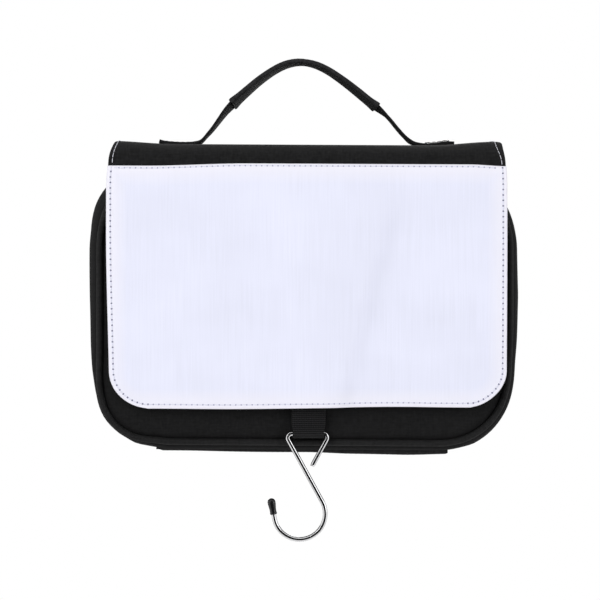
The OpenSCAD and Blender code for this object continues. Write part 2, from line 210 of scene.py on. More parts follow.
class Shade:
    """A value in a finish's nodes. Arithmetic on it adds Math nodes."""

    def __init__(self, finish, socket):
        self.finish = finish
        self.socket = socket

    def math(self, operation, *terms):
        """A Math node over the given terms."""
        return self.finish.node("ShaderNodeMath", {"operation": operation}, dict(enumerate(terms)))

    def __add__(self, other):
        return self.math("ADD", self, other)

    def __radd__(self, other):
        return self.math("ADD", other, self)

    def __sub__(self, other):
        return self.math("SUBTRACT", self, other)

    def __rsub__(self, other):
        return self.math("SUBTRACT", other, self)

    def __mul__(self, other):
        return self.math("MULTIPLY", self, other)

    def __rmul__(self, other):
        return self.math("MULTIPLY", other, self)

    def __truediv__(self, other):
        return self.math("DIVIDE", self, other)

    def __pow__(self, other):
        return self.math("POWER", self, other)

    def __abs__(self):
        return self.math("ABSOLUTE", self)

    def sin(self):
        return self.math("SINE", self)

    def over(self, other):
        return self.math("MAXIMUM", self, other)

    def above(self, limit):
        return self.math("GREATER_THAN", self, limit)


class Finish:
    """The nodes of a new material, or of another owner such as the world, built from values."""

    def __init__(self, name, owner=None):
        self.material = owner or bpy.data.materials.new(name)
        self.material.use_nodes = True
        self.tree = self.material.node_tree
        self.tree.nodes.clear()

    def node(self, kind, settings=None, sockets=None, out=0):
        """Adds a node, with its settings first and then the values or links of its sockets."""
        made = self.tree.nodes.new(kind)
        for key, value in (settings or {}).items():
            setattr(made, key, value)
        for key, value in (sockets or {}).items():
            if isinstance(value, Shade):
                self.tree.links.new(value.socket, made.inputs[key])
            else:
                made.inputs[key].default_value = value
        return Shade(self, made.outputs[out]) if made.outputs else None

    def cloth_place(self):
        """Lengths in millimetres along and across the cloth."""
        place = self.node("ShaderNodeUVMap", {"uv_map": "cloth"})
        split = self.node("ShaderNodeSeparateXYZ", None, {0: place})
        across = split * (1 / MM)
        along = Shade(self, split.socket.node.outputs[1]) * (1 / MM)
        return across, along

    def stretched(self, across, along, wide, tall, detail=2.0):
        """Soft noise with the given feature sizes across and along the cloth, in millimetres."""
        place = self.node("ShaderNodeCombineXYZ", None, {0: across * (1 / wide), 1: along * (1 / tall)})
        return self.node(
            "ShaderNodeTexNoise", {"noise_dimensions": "2D"},
            {"Vector": place, "Scale": 1.0, "Detail": detail, "Roughness": 0.55},
        )

    def noise(self, size, detail=2.0):
        """Soft noise in space, with features of the given size in millimetres."""
        place = self.node("ShaderNodeTexCoord", out=3)
        return self.node(
            "ShaderNodeTexNoise", None,
            {"Vector": place, "Scale": 1 / (size * MM), "Detail": detail, "Roughness": 0.55},
        )

    def between(self, low, high, share):
        """Colour between two colours, each three numbers or a value."""
        ends = [end if isinstance(end, Shade) else (*end, 1.0) for end in (low, high)]
        return self.node("ShaderNodeMix", {"data_type": "RGBA"}, {0: share, 6: ends[0], 7: ends[1]}, out=2)

    def shaded(self, colour, low, high, share):
        """A colour times a factor between low and high."""
        return self.between(scaled(colour, low), scaled(colour, high), share)

    def bump(self, height, strength, distance):
        """Normal of a height, with the height's reach in millimetres."""
        return self.node(
            "ShaderNodeBump", None, {"Strength": strength, "Distance": distance * MM, "Height": height}
        )

    def surface(self, **sockets):
        """Ends the finish in one Principled shader. Underscores stand for spaces in the sockets' names."""
        named = {key.replace("_", " "): value for key, value in sockets.items()}
        shader = self.node("ShaderNodeBsdfPrincipled", None, named)
        self.node("ShaderNodeOutputMaterial", None, {0: shader})
        return self.material


def scaled(colour, factor):
    """A colour made lighter or darker."""
    return tuple(min(1.0, c * factor) for c in colour)


def plain_weave(across, along, pitch):
    """Height of over-and-under yarns, from 0 in the gaps to 1."""
    turn = math.pi / pitch
    return abs((across * turn).sin() * (along * turn).sin()) ** 0.6


def woven(name, colour, pitch, spread=0.3, rough=0.82, sheen=0.02, specular=0.12, depth=0.12):
    """Plain woven cloth: over-and-under yarns, uneven dye and a little fuzz."""
    f = Finish(name)
    across, along = f.cloth_place()
    slub = f.stretched(across, along, pitch * 1.5, pitch * 14)
    weft = f.stretched(across, along, pitch * 14, pitch * 1.5)
    cloudy = f.noise(38.0)
    mottle = f.noise(1.7, 3.0)
    fuzz = f.noise(0.7, 1.0)
    share = 0.5 + (mottle - 0.5) * 1.2 + (slub + weft - 1) * 0.8 + (fuzz - 0.5) * 0.4 + (cloudy - 0.5) * 0.4
    height = plain_weave(across, along, pitch) + slub * 0.5 + weft * 0.5
    return f.surface(
        Base_Color=f.shaded(colour, 1 - 2 * spread, 1 + 2 * spread, share),
        Roughness=rough + (fuzz - 0.5) * 0.16,
        Specular_IOR_Level=specular,
        Sheen_Weight=sheen,
        Sheen_Roughness=0.5,
        Normal=f.bump(height, 0.5, depth),
    )


HEM = 12.0
HEM_TINT = (1.073, 1.037, 0.967)
FACE_YARN = 0.55


def pale_face(name, colour):
    """Pale weave with faint upright streaks, whiter where its edge is turned under and lies double."""
    f = Finish(name)
    across, along = f.cloth_place()
    streak = f.stretched(across, along, 1.1, 40.0, 1.0)
    patch = f.stretched(across, along, 24.0, 32.0)
    cloudy = f.stretched(across, along, 58.0, 44.0)
    share = 0.5 + (streak - 0.5) * patch * 1.4 + (cloudy - 0.5) * 1.1
    height = plain_weave(across, along, FACE_YARN) * 0.4 + streak * patch
    aside = (abs(across) - (FACE_BOX[1][0] - FACE_ROUND)).over(0)
    below = (FACE_ROUND - along).over(0)
    past_rim = (aside ** 2 + below ** 2) ** 0.5 - FACE_ROUND
    doubled = (1 + past_rim.over(along - FACE_HIGH) / HEM).over(0)
    single = f.shaded(colour, 0.93, 1.02, share)
    return f.surface(
        Base_Color=f.between(single, tuple(c * t for c, t in zip(colour, HEM_TINT)), doubled),
        Roughness=0.66 + (streak - 0.5) * 0.12,
        Specular_IOR_Level=0.25,
        Normal=f.bump(height, 0.35, 0.07),
    )


def ribbed(name, colour, pitch, rib_share=0.55, rough=0.7, depth=0.2, low=0.45, high=1.6, crisp=1.0):
    """Webbing with ribs across its length and columns of yarn along it."""
    f = Finish(name)
    across, along = f.cloth_place()
    turn = math.pi / pitch
    ribs = abs((along * turn).sin()) ** crisp
    columns = abs((across * (turn / 1.1) + (along * turn).sin() * 0.5).sin())
    fuzz = f.noise(0.6, 1.0)
    height = ribs * rib_share + columns * (1 - rib_share) + fuzz * 0.15
    # Colour darker in the gaps between ribs and yarn columns and lighter on their crests: painted shade and
    # painted light across the ribs.
    share = ribs * 0.75 + columns * 0.2 + fuzz * 0.05
    return f.surface(
        Base_Color=f.shaded(colour, low, high, share),
        Roughness=rough + (fuzz - 0.5) * 0.2,
        Specular_IOR_Level=0.1,
        Sheen_Weight=0.02,
        Normal=f.bump(height, 0.7, depth),
    )


def thread_finish(name, colour):
    """Twisted sewing thread."""
    f = Finish(name)
    twist = f.noise(0.35, 1.0)
    return f.surface(
        Base_Color=f.shaded(colour, 0.8, 1.1, twist),
        Roughness=0.6 + twist * 0.2,
        Normal=f.bump(twist, 0.5, 0.08),
    )


RIPSTOP = 6.0
NET_CELL = 2.0


def lining_finish(name, colour):
    """Thin lining with a fine weave and a faint square grid of thicker yarns."""
    f = Finish(name)
    across, along = f.cloth_place()
    turn = math.pi / RIPSTOP
    grid = abs((across * turn).sin()).over(abs((along * turn).sin())).above(0.982)
    crumple = f.noise(24.0, 3.0)
    mottle = f.noise(1.6, 2.0)
    fine = f.stretched(across, along, 0.5, 5.0) + f.stretched(across, along, 5.0, 0.5)
    share = 0.3 + (crumple - 0.5) * 0.5 + (mottle - 0.5) * 0.6 + (fine - 1) * 0.4 + grid * 0.26
    return f.surface(
        Base_Color=f.shaded(colour, 0.6, 1.8, share),
        Roughness=0.5 + (mottle - 0.5) * 0.2,
        Sheen_Weight=0.1,
        Normal=f.bump(fine * 0.5 + grid * 0.8 + crumple * 16, 0.6, 0.1),
    )


def net_finish(name, colour):
    """Knitted net: open cells between round yarns."""
    f = Finish(name)
    across, along = f.cloth_place()
    turn = math.pi / NET_CELL
    cell = abs(((across + along) * turn).sin()) * abs(((across - along) * turn).sin())
    yarn = 1 - cell.above(0.22)
    fuzz = f.noise(0.6, 1.0)
    return f.surface(
        Base_Color=f.shaded(colour, 0.7, 1.4, fuzz),
        Roughness=0.75 + (fuzz - 0.5) * 0.2,
        Alpha=yarn,
        Normal=f.bump(1 - cell, 0.5, 0.2),
    )


def pile_finish(name, colour, size):
    """Hook-and-loop pile."""
    f = Finish(name)
    tuft = f.noise(size, 3.0)
    cloudy = f.noise(9.0)
    return f.surface(
        Base_Color=f.shaded(colour, 0.4, 1.8, tuft * 0.8 + cloudy * 0.2),
        Roughness=0.9 - tuft * 0.1,
        Normal=f.bump(tuft, 1.0, 0.6),
    )


def plated(name, colour):
    """Bright plated wire with fine drawing marks."""
    f = Finish(name)
    marks = f.noise(0.4, 2.0)
    cloudy = f.noise(6.0)
    return f.surface(
        Base_Color=f.shaded(colour, 0.94, 1.04, cloudy),
        Metallic=1.0,
        Roughness=0.06 + marks * 0.06,
    )


def moulded(name, colour, rough, grain=0.5, depth=0.03):
    """Moulded or painted surface with a fine grain."""
    f = Finish(name)
    fine = f.noise(grain, 2.0)
    cloudy = f.noise(12.0)
    return f.surface(
        Base_Color=f.shaded(colour, 0.8, 1.25, cloudy * 0.6 + fine * 0.4),
        Roughness=rough + (fine - 0.5) * 0.18,
        Normal=f.bump(fine, 0.35, depth),
    )


PLAIN_COLOURS = {
    # The two hole colours are painted shade: dark dots that stand in for the shadow in each needle hole.
    "needle_hole_shade": (0.16, 0.16, 0.25),
    "tight_hole_shade": (0.42, 0.42, 0.56),
    "loop_pile": (0.012, 0.012, 0.013),
    "hook_pile": (0.009, 0.009, 0.010),
    "zip_coil": (0.016, 0.016, 0.017),
    "slider_paint": (0.014, 0.014, 0.015),
    "cap_rubber": (0.007, 0.007, 0.008),
}


def finish(name):
    """The named finish, made the first time that it is asked for."""
    found = bpy.data.materials.get(name)
    if found:
        return found
    c = colours()
    plain = PLAIN_COLOURS.get(name)
    makers = {
        "shell_cloth": lambda: woven(name, scaled(c.cloth, 0.93), 0.62, spread=0.2),
        "bead_cloth": lambda: woven(name, scaled(c.cloth, 1.03), 0.6, rough=0.72, specular=0.2),
        # The base cloth is painted twice as light as the cover cloth: painted light, standing in for light
        # from below on the base.
        "base_cloth": lambda: woven(name, scaled(c.cloth, 2.0), 0.62, rough=0.75, specular=0.2),
        "cover_cloth": lambda: woven(name, c.cloth, 0.62),
        "sleeve_weave": lambda: woven(name, scaled(c.cloth, 2.1), 0.8, rough=0.78),
        "face_weave": lambda: pale_face(name, c.face),
        "face_thread": lambda: thread_finish(name, c.face),
        "band_thread": lambda: thread_finish(name, c.thread),
        "dark_thread": lambda: thread_finish(name, scaled(c.cloth, 1.7)),
        # Dots of painted needle-hole shade: darker on the face's sides, fainter along its bottom and top.
        "needle_hole_shade": lambda: moulded(name, plain, 0.9),
        "tight_hole_shade": lambda: moulded(name, plain, 0.9),
        # On the hanger the rib gaps are painted black and the crests 2.3 times as light: painted shade and
        # painted light across the ribs.
        "strap_webbing": lambda: ribbed(
            name, c.webbing, WEBBING_RIB, 0.7, depth=0.35, low=0.0, high=2.3, crisp=2.0,
        ),
        "handle_webbing": lambda: ribbed(name, c.webbing, 0.9, rough=0.75),
        "lining_weave": lambda: lining_finish(name, c.lining),
        "pocket_net": lambda: net_finish(name, c.lining),
        "elastic_band": lambda: ribbed(name, c.webbing, 1.6, depth=0.3),
        "loop_pile": lambda: pile_finish(name, plain, 0.7),
        "hook_pile": lambda: pile_finish(name, plain, 0.35),
        "tape_weave": lambda: ribbed(name, scaled(c.cloth, 0.8), 0.7, rough=0.8, depth=0.1),
        "zip_coil": lambda: moulded(name, plain, 0.38),
        "slider_paint": lambda: moulded(name, plain, 0.3, 1.2),
        "hook_plating": lambda: plated(name, c.metal),
        "cap_rubber": lambda: moulded(name, plain, 0.16, 0.8, 0.006),
    }
    return makers[name]()


# Mesh builders


def soft_step(low, high, value):
    """Smooth step from 0 at low to 1 at high."""
    t = np.clip((value - low) / (high - low), 0, 1)
    return t * t * (3 - 2 * t)


def hump(value, middle, width):
    """Smooth hump, 1 at its middle."""
    return np.exp(-(((value - middle) / width) ** 2))


def squarish(value, power):
    """A sine or cosine raised to a power with its sign kept. A power under 1 squares a round outline."""
    return np.sign(value) * np.abs(value) ** power


def through(points, count):
    """Points spread evenly along a smooth curve through the given points."""
    p = np.array(points, float)
    ends = np.vstack([2 * p[0] - p[1], p, 2 * p[-1] - p[-2]])
    fine = []
    for i in range(len(p) - 1):
        a, b, c, d = ends[i:i + 4]
        t = np.linspace(0, 1, 24, endpoint=False)[:, None]
        bend = (2 * a - 5 * b + 4 * c - d) * t**2 + (3 * (b - c) + d - a) * t**3
        fine.append(0.5 * (2 * b + (c - a) * t + bend))
    line = np.vstack(fine + [p[-1:]])
    return spaced(line, np.linspace(0, 1, count))


def lengths(line):
    """Length along a line of points, from its first point."""
    return np.concatenate([[0], np.cumsum(np.linalg.norm(np.diff(line, axis=0), axis=1))])


def sampled(line, run, at):
    """Values of a line's points at lengths along it."""
    return np.stack([np.interp(at, run, line[:, k]) for k in range(line.shape[1])], 1)


def spaced(line, shares):
    """Points at the given shares of a line's length."""
    run = lengths(line)
    return sampled(line, run, np.asarray(shares) * run[-1])


def upright(xz, y):
    """Points of the front view, set at depth y."""
    return np.stack([xz[:, 0], np.broadcast_to(y, len(xz)), xz[:, 1]], 1)


def on_grid(across, up):
    """Places on a cloth for rows of points at the given lengths."""
    return [[(a, b) for a in across] for b in up]


def make_piece(name, points, faces, places, materials, kinds=None):
    """A smooth mesh piece from points and each face corner's place on the cloth, in millimetres."""
    mesh = bpy.data.meshes.new(name)
    rows = np.asarray(points, float) * MM
    rows[:, 2] += BASE_Z
    mesh.from_pydata(rows.tolist(), [], faces)
    layer = mesh.uv_layers.new(name="cloth")
    layer.uv.foreach_set("vector", (np.asarray(places, float) * MM).astype(np.float32).ravel())
    for each in materials:
        mesh.materials.append(finish(each))
    if kinds:
        mesh.polygons.foreach_set("material_index", kinds)
    mesh.shade_smooth()
    mesh.update()
    piece = bpy.data.objects.new(name, mesh)
    bpy.context.scene.collection.objects.link(piece)
    return piece


def lattice(rows, cols, wrap_rows=False, wrap_cols=False, first=0):
    """Quads of a lattice of points, and each corner's row and column, past the end where it wraps."""
    faces, spots = [], []
    for i in range(rows if wrap_rows else rows - 1):
        for j in range(cols if wrap_cols else cols - 1):
            ring = [(i, j), (i, j + 1), (i + 1, j + 1), (i + 1, j)]
            faces.append([first + (a % rows) * cols + b % cols for a, b in ring])
            spots.append(ring)
    return faces, spots


def ring_piece(name, loops, along, material):
    """A closed band: loops[i][j] goes round the bag with j and round the band's own section with i."""
    rows, cols = loops.shape[:2]
    faces, spots = lattice(rows, cols, True, True)
    section = np.vstack([loops[:, 0], loops[:1, 0]])
    up = lengths(section)
    places = [(along[b], up[a]) for ring in spots for a, b in ring]
    return make_piece(name, loops.reshape(-1, 3), faces, places, [material])


def strip_piece(name, loops, along, material):
    """A strip with a closed section: loops[i][j] goes along it with i and round its section with j."""
    rows, cols = loops.shape[:2]
    faces, spots = lattice(rows, cols, False, True)
    around = lengths(np.vstack([loops[rows // 2], loops[rows // 2][:1]]))
    places = [(around[b], along[a]) for ring in spots for a, b in ring]
    for row, order in ((0, range(cols)), (rows - 1, range(cols - 1, -1, -1))):
        faces.append([row * cols + j for j in order])
        places += [(around[j], along[row]) for j in order]
    return make_piece(name, loops.reshape(-1, 3), faces, places, [material])


def sheet_piece(name, outer, inner, places, materials):
    """A cloth with two sides: outer and inner are lattices of points, joined round their edge."""
    rows, cols = outer.shape[:2]
    faces, spots = lattice(rows, cols)
    kinds = [0] * len(faces)
    back, back_spots = lattice(rows, cols, first=rows * cols)
    faces += [face[::-1] for face in back]
    spots += [ring[::-1] for ring in back_spots]
    kinds += [len(materials) - 1] * len(back)
    edge = [(0, j) for j in range(cols)] + [(i, cols - 1) for i in range(1, rows)]
    edge += [(rows - 1, j) for j in range(cols - 2, -1, -1)] + [(i, 0) for i in range(rows - 2, 0, -1)]
    for a, b in zip(edge, edge[1:] + edge[:1]):
        ia, ib = a[0] * cols + a[1], b[0] * cols + b[1]
        faces.append([ib, ia, ia + rows * cols, ib + rows * cols])
        spots.append([b, a, a, b])
        kinds.append(0)
    points = np.vstack([outer.reshape(-1, 3), inner.reshape(-1, 3)])
    corner_places = [places[a][b] for ring in spots for a, b in ring]
    return make_piece(name, points, faces, corner_places, materials, kinds)


def dish_piece(name, loops, material):
    """A closed form of loops that starts and ends in a point: loops[i][j] goes round with j."""
    rows, cols = loops.shape[:2]
    faces = lattice(rows, cols, False, True)[0]
    points = [loops.reshape(-1, 3)]
    flat = [tuple(p[[0, 2]]) for p in loops.reshape(-1, 3)]
    places = [flat[v] for face in faces for v in face]
    for row, order in ((0, 1), (rows - 1, -1)):
        tip = len(points[0]) + len(points) - 1
        middle = loops[row].mean(0)
        points.append(middle[None])
        for j in range(cols):
            pair = [row * cols + (j + 1) % cols, row * cols + j][::order]
            faces.append([*pair, tip])
            places += [flat[v] for v in pair] + [tuple(middle[[0, 2]])]
    return make_piece(name, np.vstack(points), faces, places, [material])


def side_frames(path, hint, twist=None):
    """Two directions square to a path, the first one nearest to the hint, turned by the twist."""
    tangent = np.gradient(path, axis=0)
    tangent /= np.linalg.norm(tangent, axis=1)[:, None]
    hint = np.broadcast_to(np.asarray(hint, float), path.shape)
    side = hint - (hint * tangent).sum(1)[:, None] * tangent
    side /= np.linalg.norm(side, axis=1)[:, None]
    up = np.cross(tangent, side)
    if twist is not None:
        c, s = np.cos(twist)[:, None], np.sin(twist)[:, None]
        side, up = side * c + up * s, up * c - side * s
    return side, up


def round_section(half_w, half_t, radius, steps=3):
    """A rectangle with round corners, as points that go round it."""
    made = []
    for k, (sx, sy) in enumerate(((1, 1), (-1, 1), (-1, -1), (1, -1))):
        middle = np.array([sx * (half_w - radius), sy * (half_t - radius)])
        for a in np.linspace(0, math.pi / 2, steps + 1) + k * math.pi / 2:
            made.append(middle + radius * np.array([math.cos(a), math.sin(a)]))
    return np.array(made)


def swept(name, path, hint, section, material, twist=None):
    """A strip that carries a section along a path. The section's first direction follows the hint."""
    side, up = side_frames(path, hint, twist)
    sections = np.broadcast_to(section, (len(path), *np.shape(section)[-2:]))
    loops = path[:, None] + sections[:, :, :1] * side[:, None] + sections[:, :, 1:] * up[:, None]
    return strip_piece(name, loops, lengths(path), material)


def per_point(section, wide, thick):
    """A section for each point of a path, times its width and thickness there."""
    return section[None] * np.stack(np.broadcast_arrays(wide, thick), 1)[:, None]


def polar(radius, angle):
    """Points at a distance from the origin and at angles about it."""
    return np.stack([radius * np.cos(angle), radius * np.sin(angle)], -1)


def circle_section(radius, sides):
    """A circle of points."""
    return polar(radius, np.arange(sides) * TURN / sides)


def copies(name, shape, faces, frames, material):
    """One piece of many copies of a small shape, each set by a place and three directions."""
    points = np.concatenate([p + shape @ np.array([a, b, c]) for p, a, b, c in frames])
    count = len(shape)
    all_faces = [[v + k * count for v in face] for k in range(len(frames)) for face in faces]
    places = [points[v][[0, 2]] for face in all_faces for v in face]
    return make_piece(name, points, all_faces, places, [material])


def rod_faces(rows, cols, way=1):
    """Faces of a rod of rings, with both ends shut."""
    last = range((rows - 1) * cols, rows * cols)
    return lattice(rows, cols, False, True)[0] + [list(range(cols))[::way], list(last)[::-way]]


def stitch_shape(length, thick, sink):
    """A short thread that dives into the cloth at both ends: length along X, up along Z."""
    share = np.array([-0.5, -0.42, -0.25, 0.0, 0.25, 0.42, 0.5])
    rise = thick * 0.6 * (1 - (2 * share) ** 4) - sink * (2 * share) ** 6
    path = np.stack([share * length, 0 * share, rise], 1)
    side, up = side_frames(path, (0, 1, 0))
    ring = circle_section(thick / 2, 6)
    points = (path[:, None] + ring[:, :1] * side[:, None] + ring[:, 1:] * up[:, None]).reshape(-1, 3)
    return points, rod_faces(len(path), 6)


def dot_shape(half_l, half_w, high):
    """A low oval dot on the cloth: the painted shade of a needle hole."""
    oval = circle_section(1.0, 8) * (half_l, half_w)
    low, top = (np.insert(oval * k, 2, z, axis=1) for k, z in ((1.0, -high), (0.8, high)))
    faces = [[j, (j + 1) % 8, 8 + (j + 1) % 8, 8 + j] for j in range(8)]
    return np.vstack([low, top]), faces + [list(range(8, 16)), list(range(7, -1, -1))]


SEAM_STEP = 0.4
STITCH_SHARE = 0.8
STITCH_SINK = 0.25
# Size of the dots of painted needle-hole shade.
HOLE_SHADE_HALF = 0.72
HOLE_SHADE_HIGH = 0.07


def seam_frames(line, outward, pitch, start=0.5):
    """Places and directions of stitches along a line on a surface that faces outward."""
    run = lengths(line)
    at = (np.arange(int(run[-1] / pitch)) + start) * pitch
    headings = sampled(line, run, at + SEAM_STEP) - sampled(line, run, at - SEAM_STEP)
    normals = sampled(np.broadcast_to(outward, line.shape), run, at)
    frames = []
    for p, d, n in zip(sampled(line, run, at), headings, normals):
        d = d / np.linalg.norm(d)
        n = n - (n @ d) * d
        n = n / np.linalg.norm(n)
        frames.append((p, d, np.cross(n, d), n))
    return frames


def sew(name, lines, body, material, thread=0.45, hole_shades=None, blend=None):
    """Stitches along lines of (points, outward direction), with named dots of painted needle-hole shade, of a
    finish and width.
    """
    pitch = sizes().stitch
    frames = [each for line, outward in lines for each in seam_frames(line, outward, pitch)]
    shape, faces = stitch_shape(pitch * STITCH_SHARE, thread, STITCH_SINK)
    made = [copies(name, shape, faces, frames, material)]
    if hole_shades:
        between = [each for line, outward in lines for each in seam_frames(line, outward, pitch, 1.0)]
        shape, faces = dot_shape(HOLE_SHADE_HALF, hole_shades[2], HOLE_SHADE_HIGH)
        made.append(copies(hole_shades[0], shape, faces, between, hole_shades[1]))
    for piece in made:
        if blend:
            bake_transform(piece)
        else:
            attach(piece, body)


# Shells: outline, walls, beads, panels and linings


def outline(s):
    """Place and outward normal on the shells' outline, at lengths s from the middle of the base."""
    r = sizes().corner
    run_x, run_z = HALF_W - r, MID_Z - WALL_LOW - r
    arc = r * math.pi / 2
    runs = [run_x, arc, 2 * run_z, arc, 2 * run_x, arc, 2 * run_z, arc, run_x]
    s = np.asarray(s, float) % sum(runs)
    place = np.zeros((len(s), 2))
    normal = np.zeros((len(s), 2))
    at, heading, begin = np.array([0.0, WALL_LOW]), 0.0, 0.0
    for k, run in enumerate(runs):
        here = (s >= begin - 1e-9) & (s <= begin + run + 1e-9)
        t = s[here] - begin
        ahead = np.array([math.cos(heading), math.sin(heading)])
        left = np.array([-ahead[1], ahead[0]])
        if k % 2 == 0:
            place[here] = at + t[:, None] * ahead
            normal[here] = -left
            at = at + run * ahead
        else:
            turn = (t / r)[:, None]
            place[here] = at + r * (np.sin(turn) * ahead + (1 - np.cos(turn)) * left)
            normal[here] = np.sin(turn) * ahead - np.cos(turn) * left
            at = at + r * (ahead + left)
            heading += math.pi / 2
        begin += run
    return place, normal


def outline_length():
    """Length of the shells' outline."""
    r = sizes().corner
    return 4 * (HALF_W - r) + 4 * (MID_Z - WALL_LOW - r) + TURN * r


def even_run(count):
    """Lengths of points spread evenly round the outline."""
    return np.arange(count) * outline_length() / count


LEFT_FULL = 2.5
LEFT_RISE = 1.3
RIGHT_RISE = 1.6
HANG_LEAN = 1.3


def settle(points):
    """The filled bag hangs a little lower on its right, and its upper left corner is the fullest."""
    x, z = points[..., 0], points[..., 2]
    upper_left = soft_step(-70, -115, x) * soft_step(126, 158, z)
    upper_right = soft_step(85, 118, x) * soft_step(120, 152, z)
    drawn_in = soft_step(-85, -112, x) * (0.6 * hump(z, 42, 9) - 0.9 * hump(z, 20, 9))
    drawn_in -= soft_step(95, 121, x) * (0.6 + 1.2 * hump(z, 46, 16))
    lean = HANG_LEAN * x / HALF_W * soft_step(75, 5, z)
    moved = points.copy()
    moved[..., 0] = x - LEFT_FULL * upper_left + drawn_in
    moved[..., 2] = z + LEFT_RISE * upper_left + RIGHT_RISE * upper_right - lean
    return moved


HUG = 4.1


def hug(place, y):
    """How far the front seam at depth y is drawn out in the lower left corner. It fades behind the seam."""
    corner = soft_step(62, 12, place[:, 1]) * soft_step(-86, -110, place[:, 0])
    return HUG * corner * soft_step(FRONT_Y + 2, FRONT_Y - 0.3, y)


SWELL_HEIGHT = (0, 15, 28, 46, 66, 95, 132, 146, 160, 172)
SWELL_LEFT = (0.9, 1.0, 0.6, 0.25, 0.6, 0.8, 0.85, 1.35, 1.6, 1.4)
SWELL_RIGHT = (0.8, 0.7, 0.45, 0.15, 0.7, 0.95, 0.55, 0.7, 0.9, 1.0)


def swell(place):
    """Share of the walls' bulge at places on the outline, least in the lower corners."""
    right = soft_step(-60, 60, place[:, 0])
    on_left, on_right = (np.interp(place[:, 1], SWELL_HEIGHT, t) for t in (SWELL_LEFT, SWELL_RIGHT))
    return on_left * (1 - right) + on_right * right


def outline_loops(profile, count, wander=0.0, phase=0.0):
    """Loops round the shells for a section of (y, distance past the outline), with the base kept flat."""
    s = even_run(count)
    place, normal = outline(s)
    flat = 1 - 0.8 * soft_step(0.88, 1.0, -normal[:, 1])
    turns = s / outline_length() * TURN
    uneven = 1 + wander * (0.6 * np.sin(7 * turns + 2 * phase) + 0.4 * np.sin(13 * turns))
    flat = flat * swell(place)
    loops = []
    for y, past in profile:
        out = np.where(past > 0, past * flat * uneven, past) + hug(place, y)
        xz = place + out[:, None] * normal
        loops.append(upright(xz, y))
    return settle(np.array(loops)), np.append(s, outline_length())


def wall_section(seam_y, zip_y, bulge):
    """Section of a side wall: over the swell from the seam to the zip, and back along the inside."""
    way = math.copysign(1, zip_y - seam_y)
    deep = abs(zip_y - seam_y)
    outer = [
        (-0.7, -3.4), (0.6, -1.3), (0.13 * deep, 0.35 * bulge), (0.3 * deep, 0.85 * bulge),
        (0.54 * deep, bulge), (0.78 * deep, 0.7 * bulge), (deep - 2.6, 0.0), (deep - 0.7, -1.7),
        (deep + 0.1, -3.9), (deep + 0.1, -5.4),
    ]
    inner = [
        (deep - 1.2, -6.3), (deep - 2.2, -5.2), (deep - 3.6, -2.6),
        (0.5 * deep, -1.9), (3.4, -2.5), (1.2, -5.6),
    ]
    line = np.vstack([through(outer, 26), through(inner, 12), [(0.0, -5.6)]])
    return [(seam_y + way * t, past) for t, past in line]


class BAG_OT_walls(bpy.types.Operator):
    """Make the padded side walls of both shells"""

    bl_idname = "toiletry_bag.walls"
    bl_label = "Side walls"

    COUNT = 232
    WANDER = 0.09

    def execute(self, context):
        bulge = sizes().bulge
        for name, node, seam_y, zip_y, past, body in (
            ("front_side_wall", "front_gusset", FRONT_Y, ZIP_Y - ZIP_HALF, bulge, "front_shell"),
            ("rear_side_wall", "rear_gusset", REAR_Y, ZIP_Y + ZIP_HALF, 0.8 * bulge, "rear_shell"),
        ):
            section = wall_section(seam_y, zip_y, past)
            loops, along = outline_loops(section, self.COUNT, self.WANDER, seam_y)
            if seam_y < zip_y:
                loops = loops[::-1]
            piece = ring_piece(name, loops, along, "shell_cloth")
            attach(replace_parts(piece, node), body)
        return {"FINISHED"}


class BAG_OT_beads(bpy.types.Operator):
    """Make the piping beads in the front and back seams"""

    bl_idname = "toiletry_bag.beads"
    bl_label = "Piping beads"

    INSET = 4.7
    PROUD = 2.5
    COUNT = 260

    def execute(self, context):
        ring = circle_section(sizes().bead, 12)
        for name, node, y, body in (
            ("front_bead", "front_piping", FRONT_Y - self.PROUD, "front_shell"),
            ("back_bead", "back_piping", REAR_Y + self.PROUD, "rear_shell"),
        ):
            loops, along = outline_loops([(y + a, b - self.INSET) for a, b in ring], self.COUNT)
            piece = ring_piece(name, loops, along, "bead_cloth")
            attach(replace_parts(piece, node), body)
        return {"FINISHED"}


AIR_FRAMES = 20
AIR_PRESSURE = 4.0
AIR_VOXEL = 5.0
AIR_HELD = 10.0
AIR_CAP = 0.9 * MM


def inflate(piece, seam_y, way, rim):
    """Lets a copy of a panel swell as cloth under air pressure, and moves the panel's skin with it."""
    scene = bpy.context.scene
    air = bpy.data.objects.new("air", piece.data.copy())
    scene.collection.objects.link(air)
    remesh = air.modifiers.new("even_cloth", "REMESH")
    remesh.mode = "VOXEL"
    remesh.voxel_size = AIR_VOXEL * MM
    bake(air)
    start, gap, inner = skin_points(air, seam_y, way, rim)
    held = air.vertex_groups.new(name="held")
    held.add([int(k) for k in np.where(inner | (gap < AIR_HELD))[0]], 1.0, "REPLACE")
    cloth = air.modifiers.new("air", "CLOTH")
    cloth.settings.use_pressure = True
    cloth.settings.uniform_pressure_force = AIR_PRESSURE
    cloth.settings.effector_weights.gravity = 0.0
    cloth.settings.vertex_group_mass = "held"
    cloth.settings.quality = 6
    cloth.point_cache.frame_end = AIR_FRAMES
    for k in range(1, AIR_FRAMES + 1):
        scene.frame_set(k)
    bake(air)
    moved = np.array([v.co for v in air.data.vertices])[:, 1] - start[:, 1]
    bpy.data.objects.remove(air)
    scene.frame_set(1)
    skin, gap, inner = skin_points(piece, seam_y, way, rim)
    outside = moved * way > 0
    for k in np.where(~inner)[0]:
        near = 1 / (np.linalg.norm(start[outside] - skin[k], axis=1) + MM) ** 4
        push = (near * moved[outside]).sum() / near.sum()
        skin[k, 1] += AIR_CAP * np.tanh(push / AIR_CAP) * soft_step(7, 20, gap[k])
    piece.data.vertices.foreach_set("co", skin.astype(np.float32).ravel())


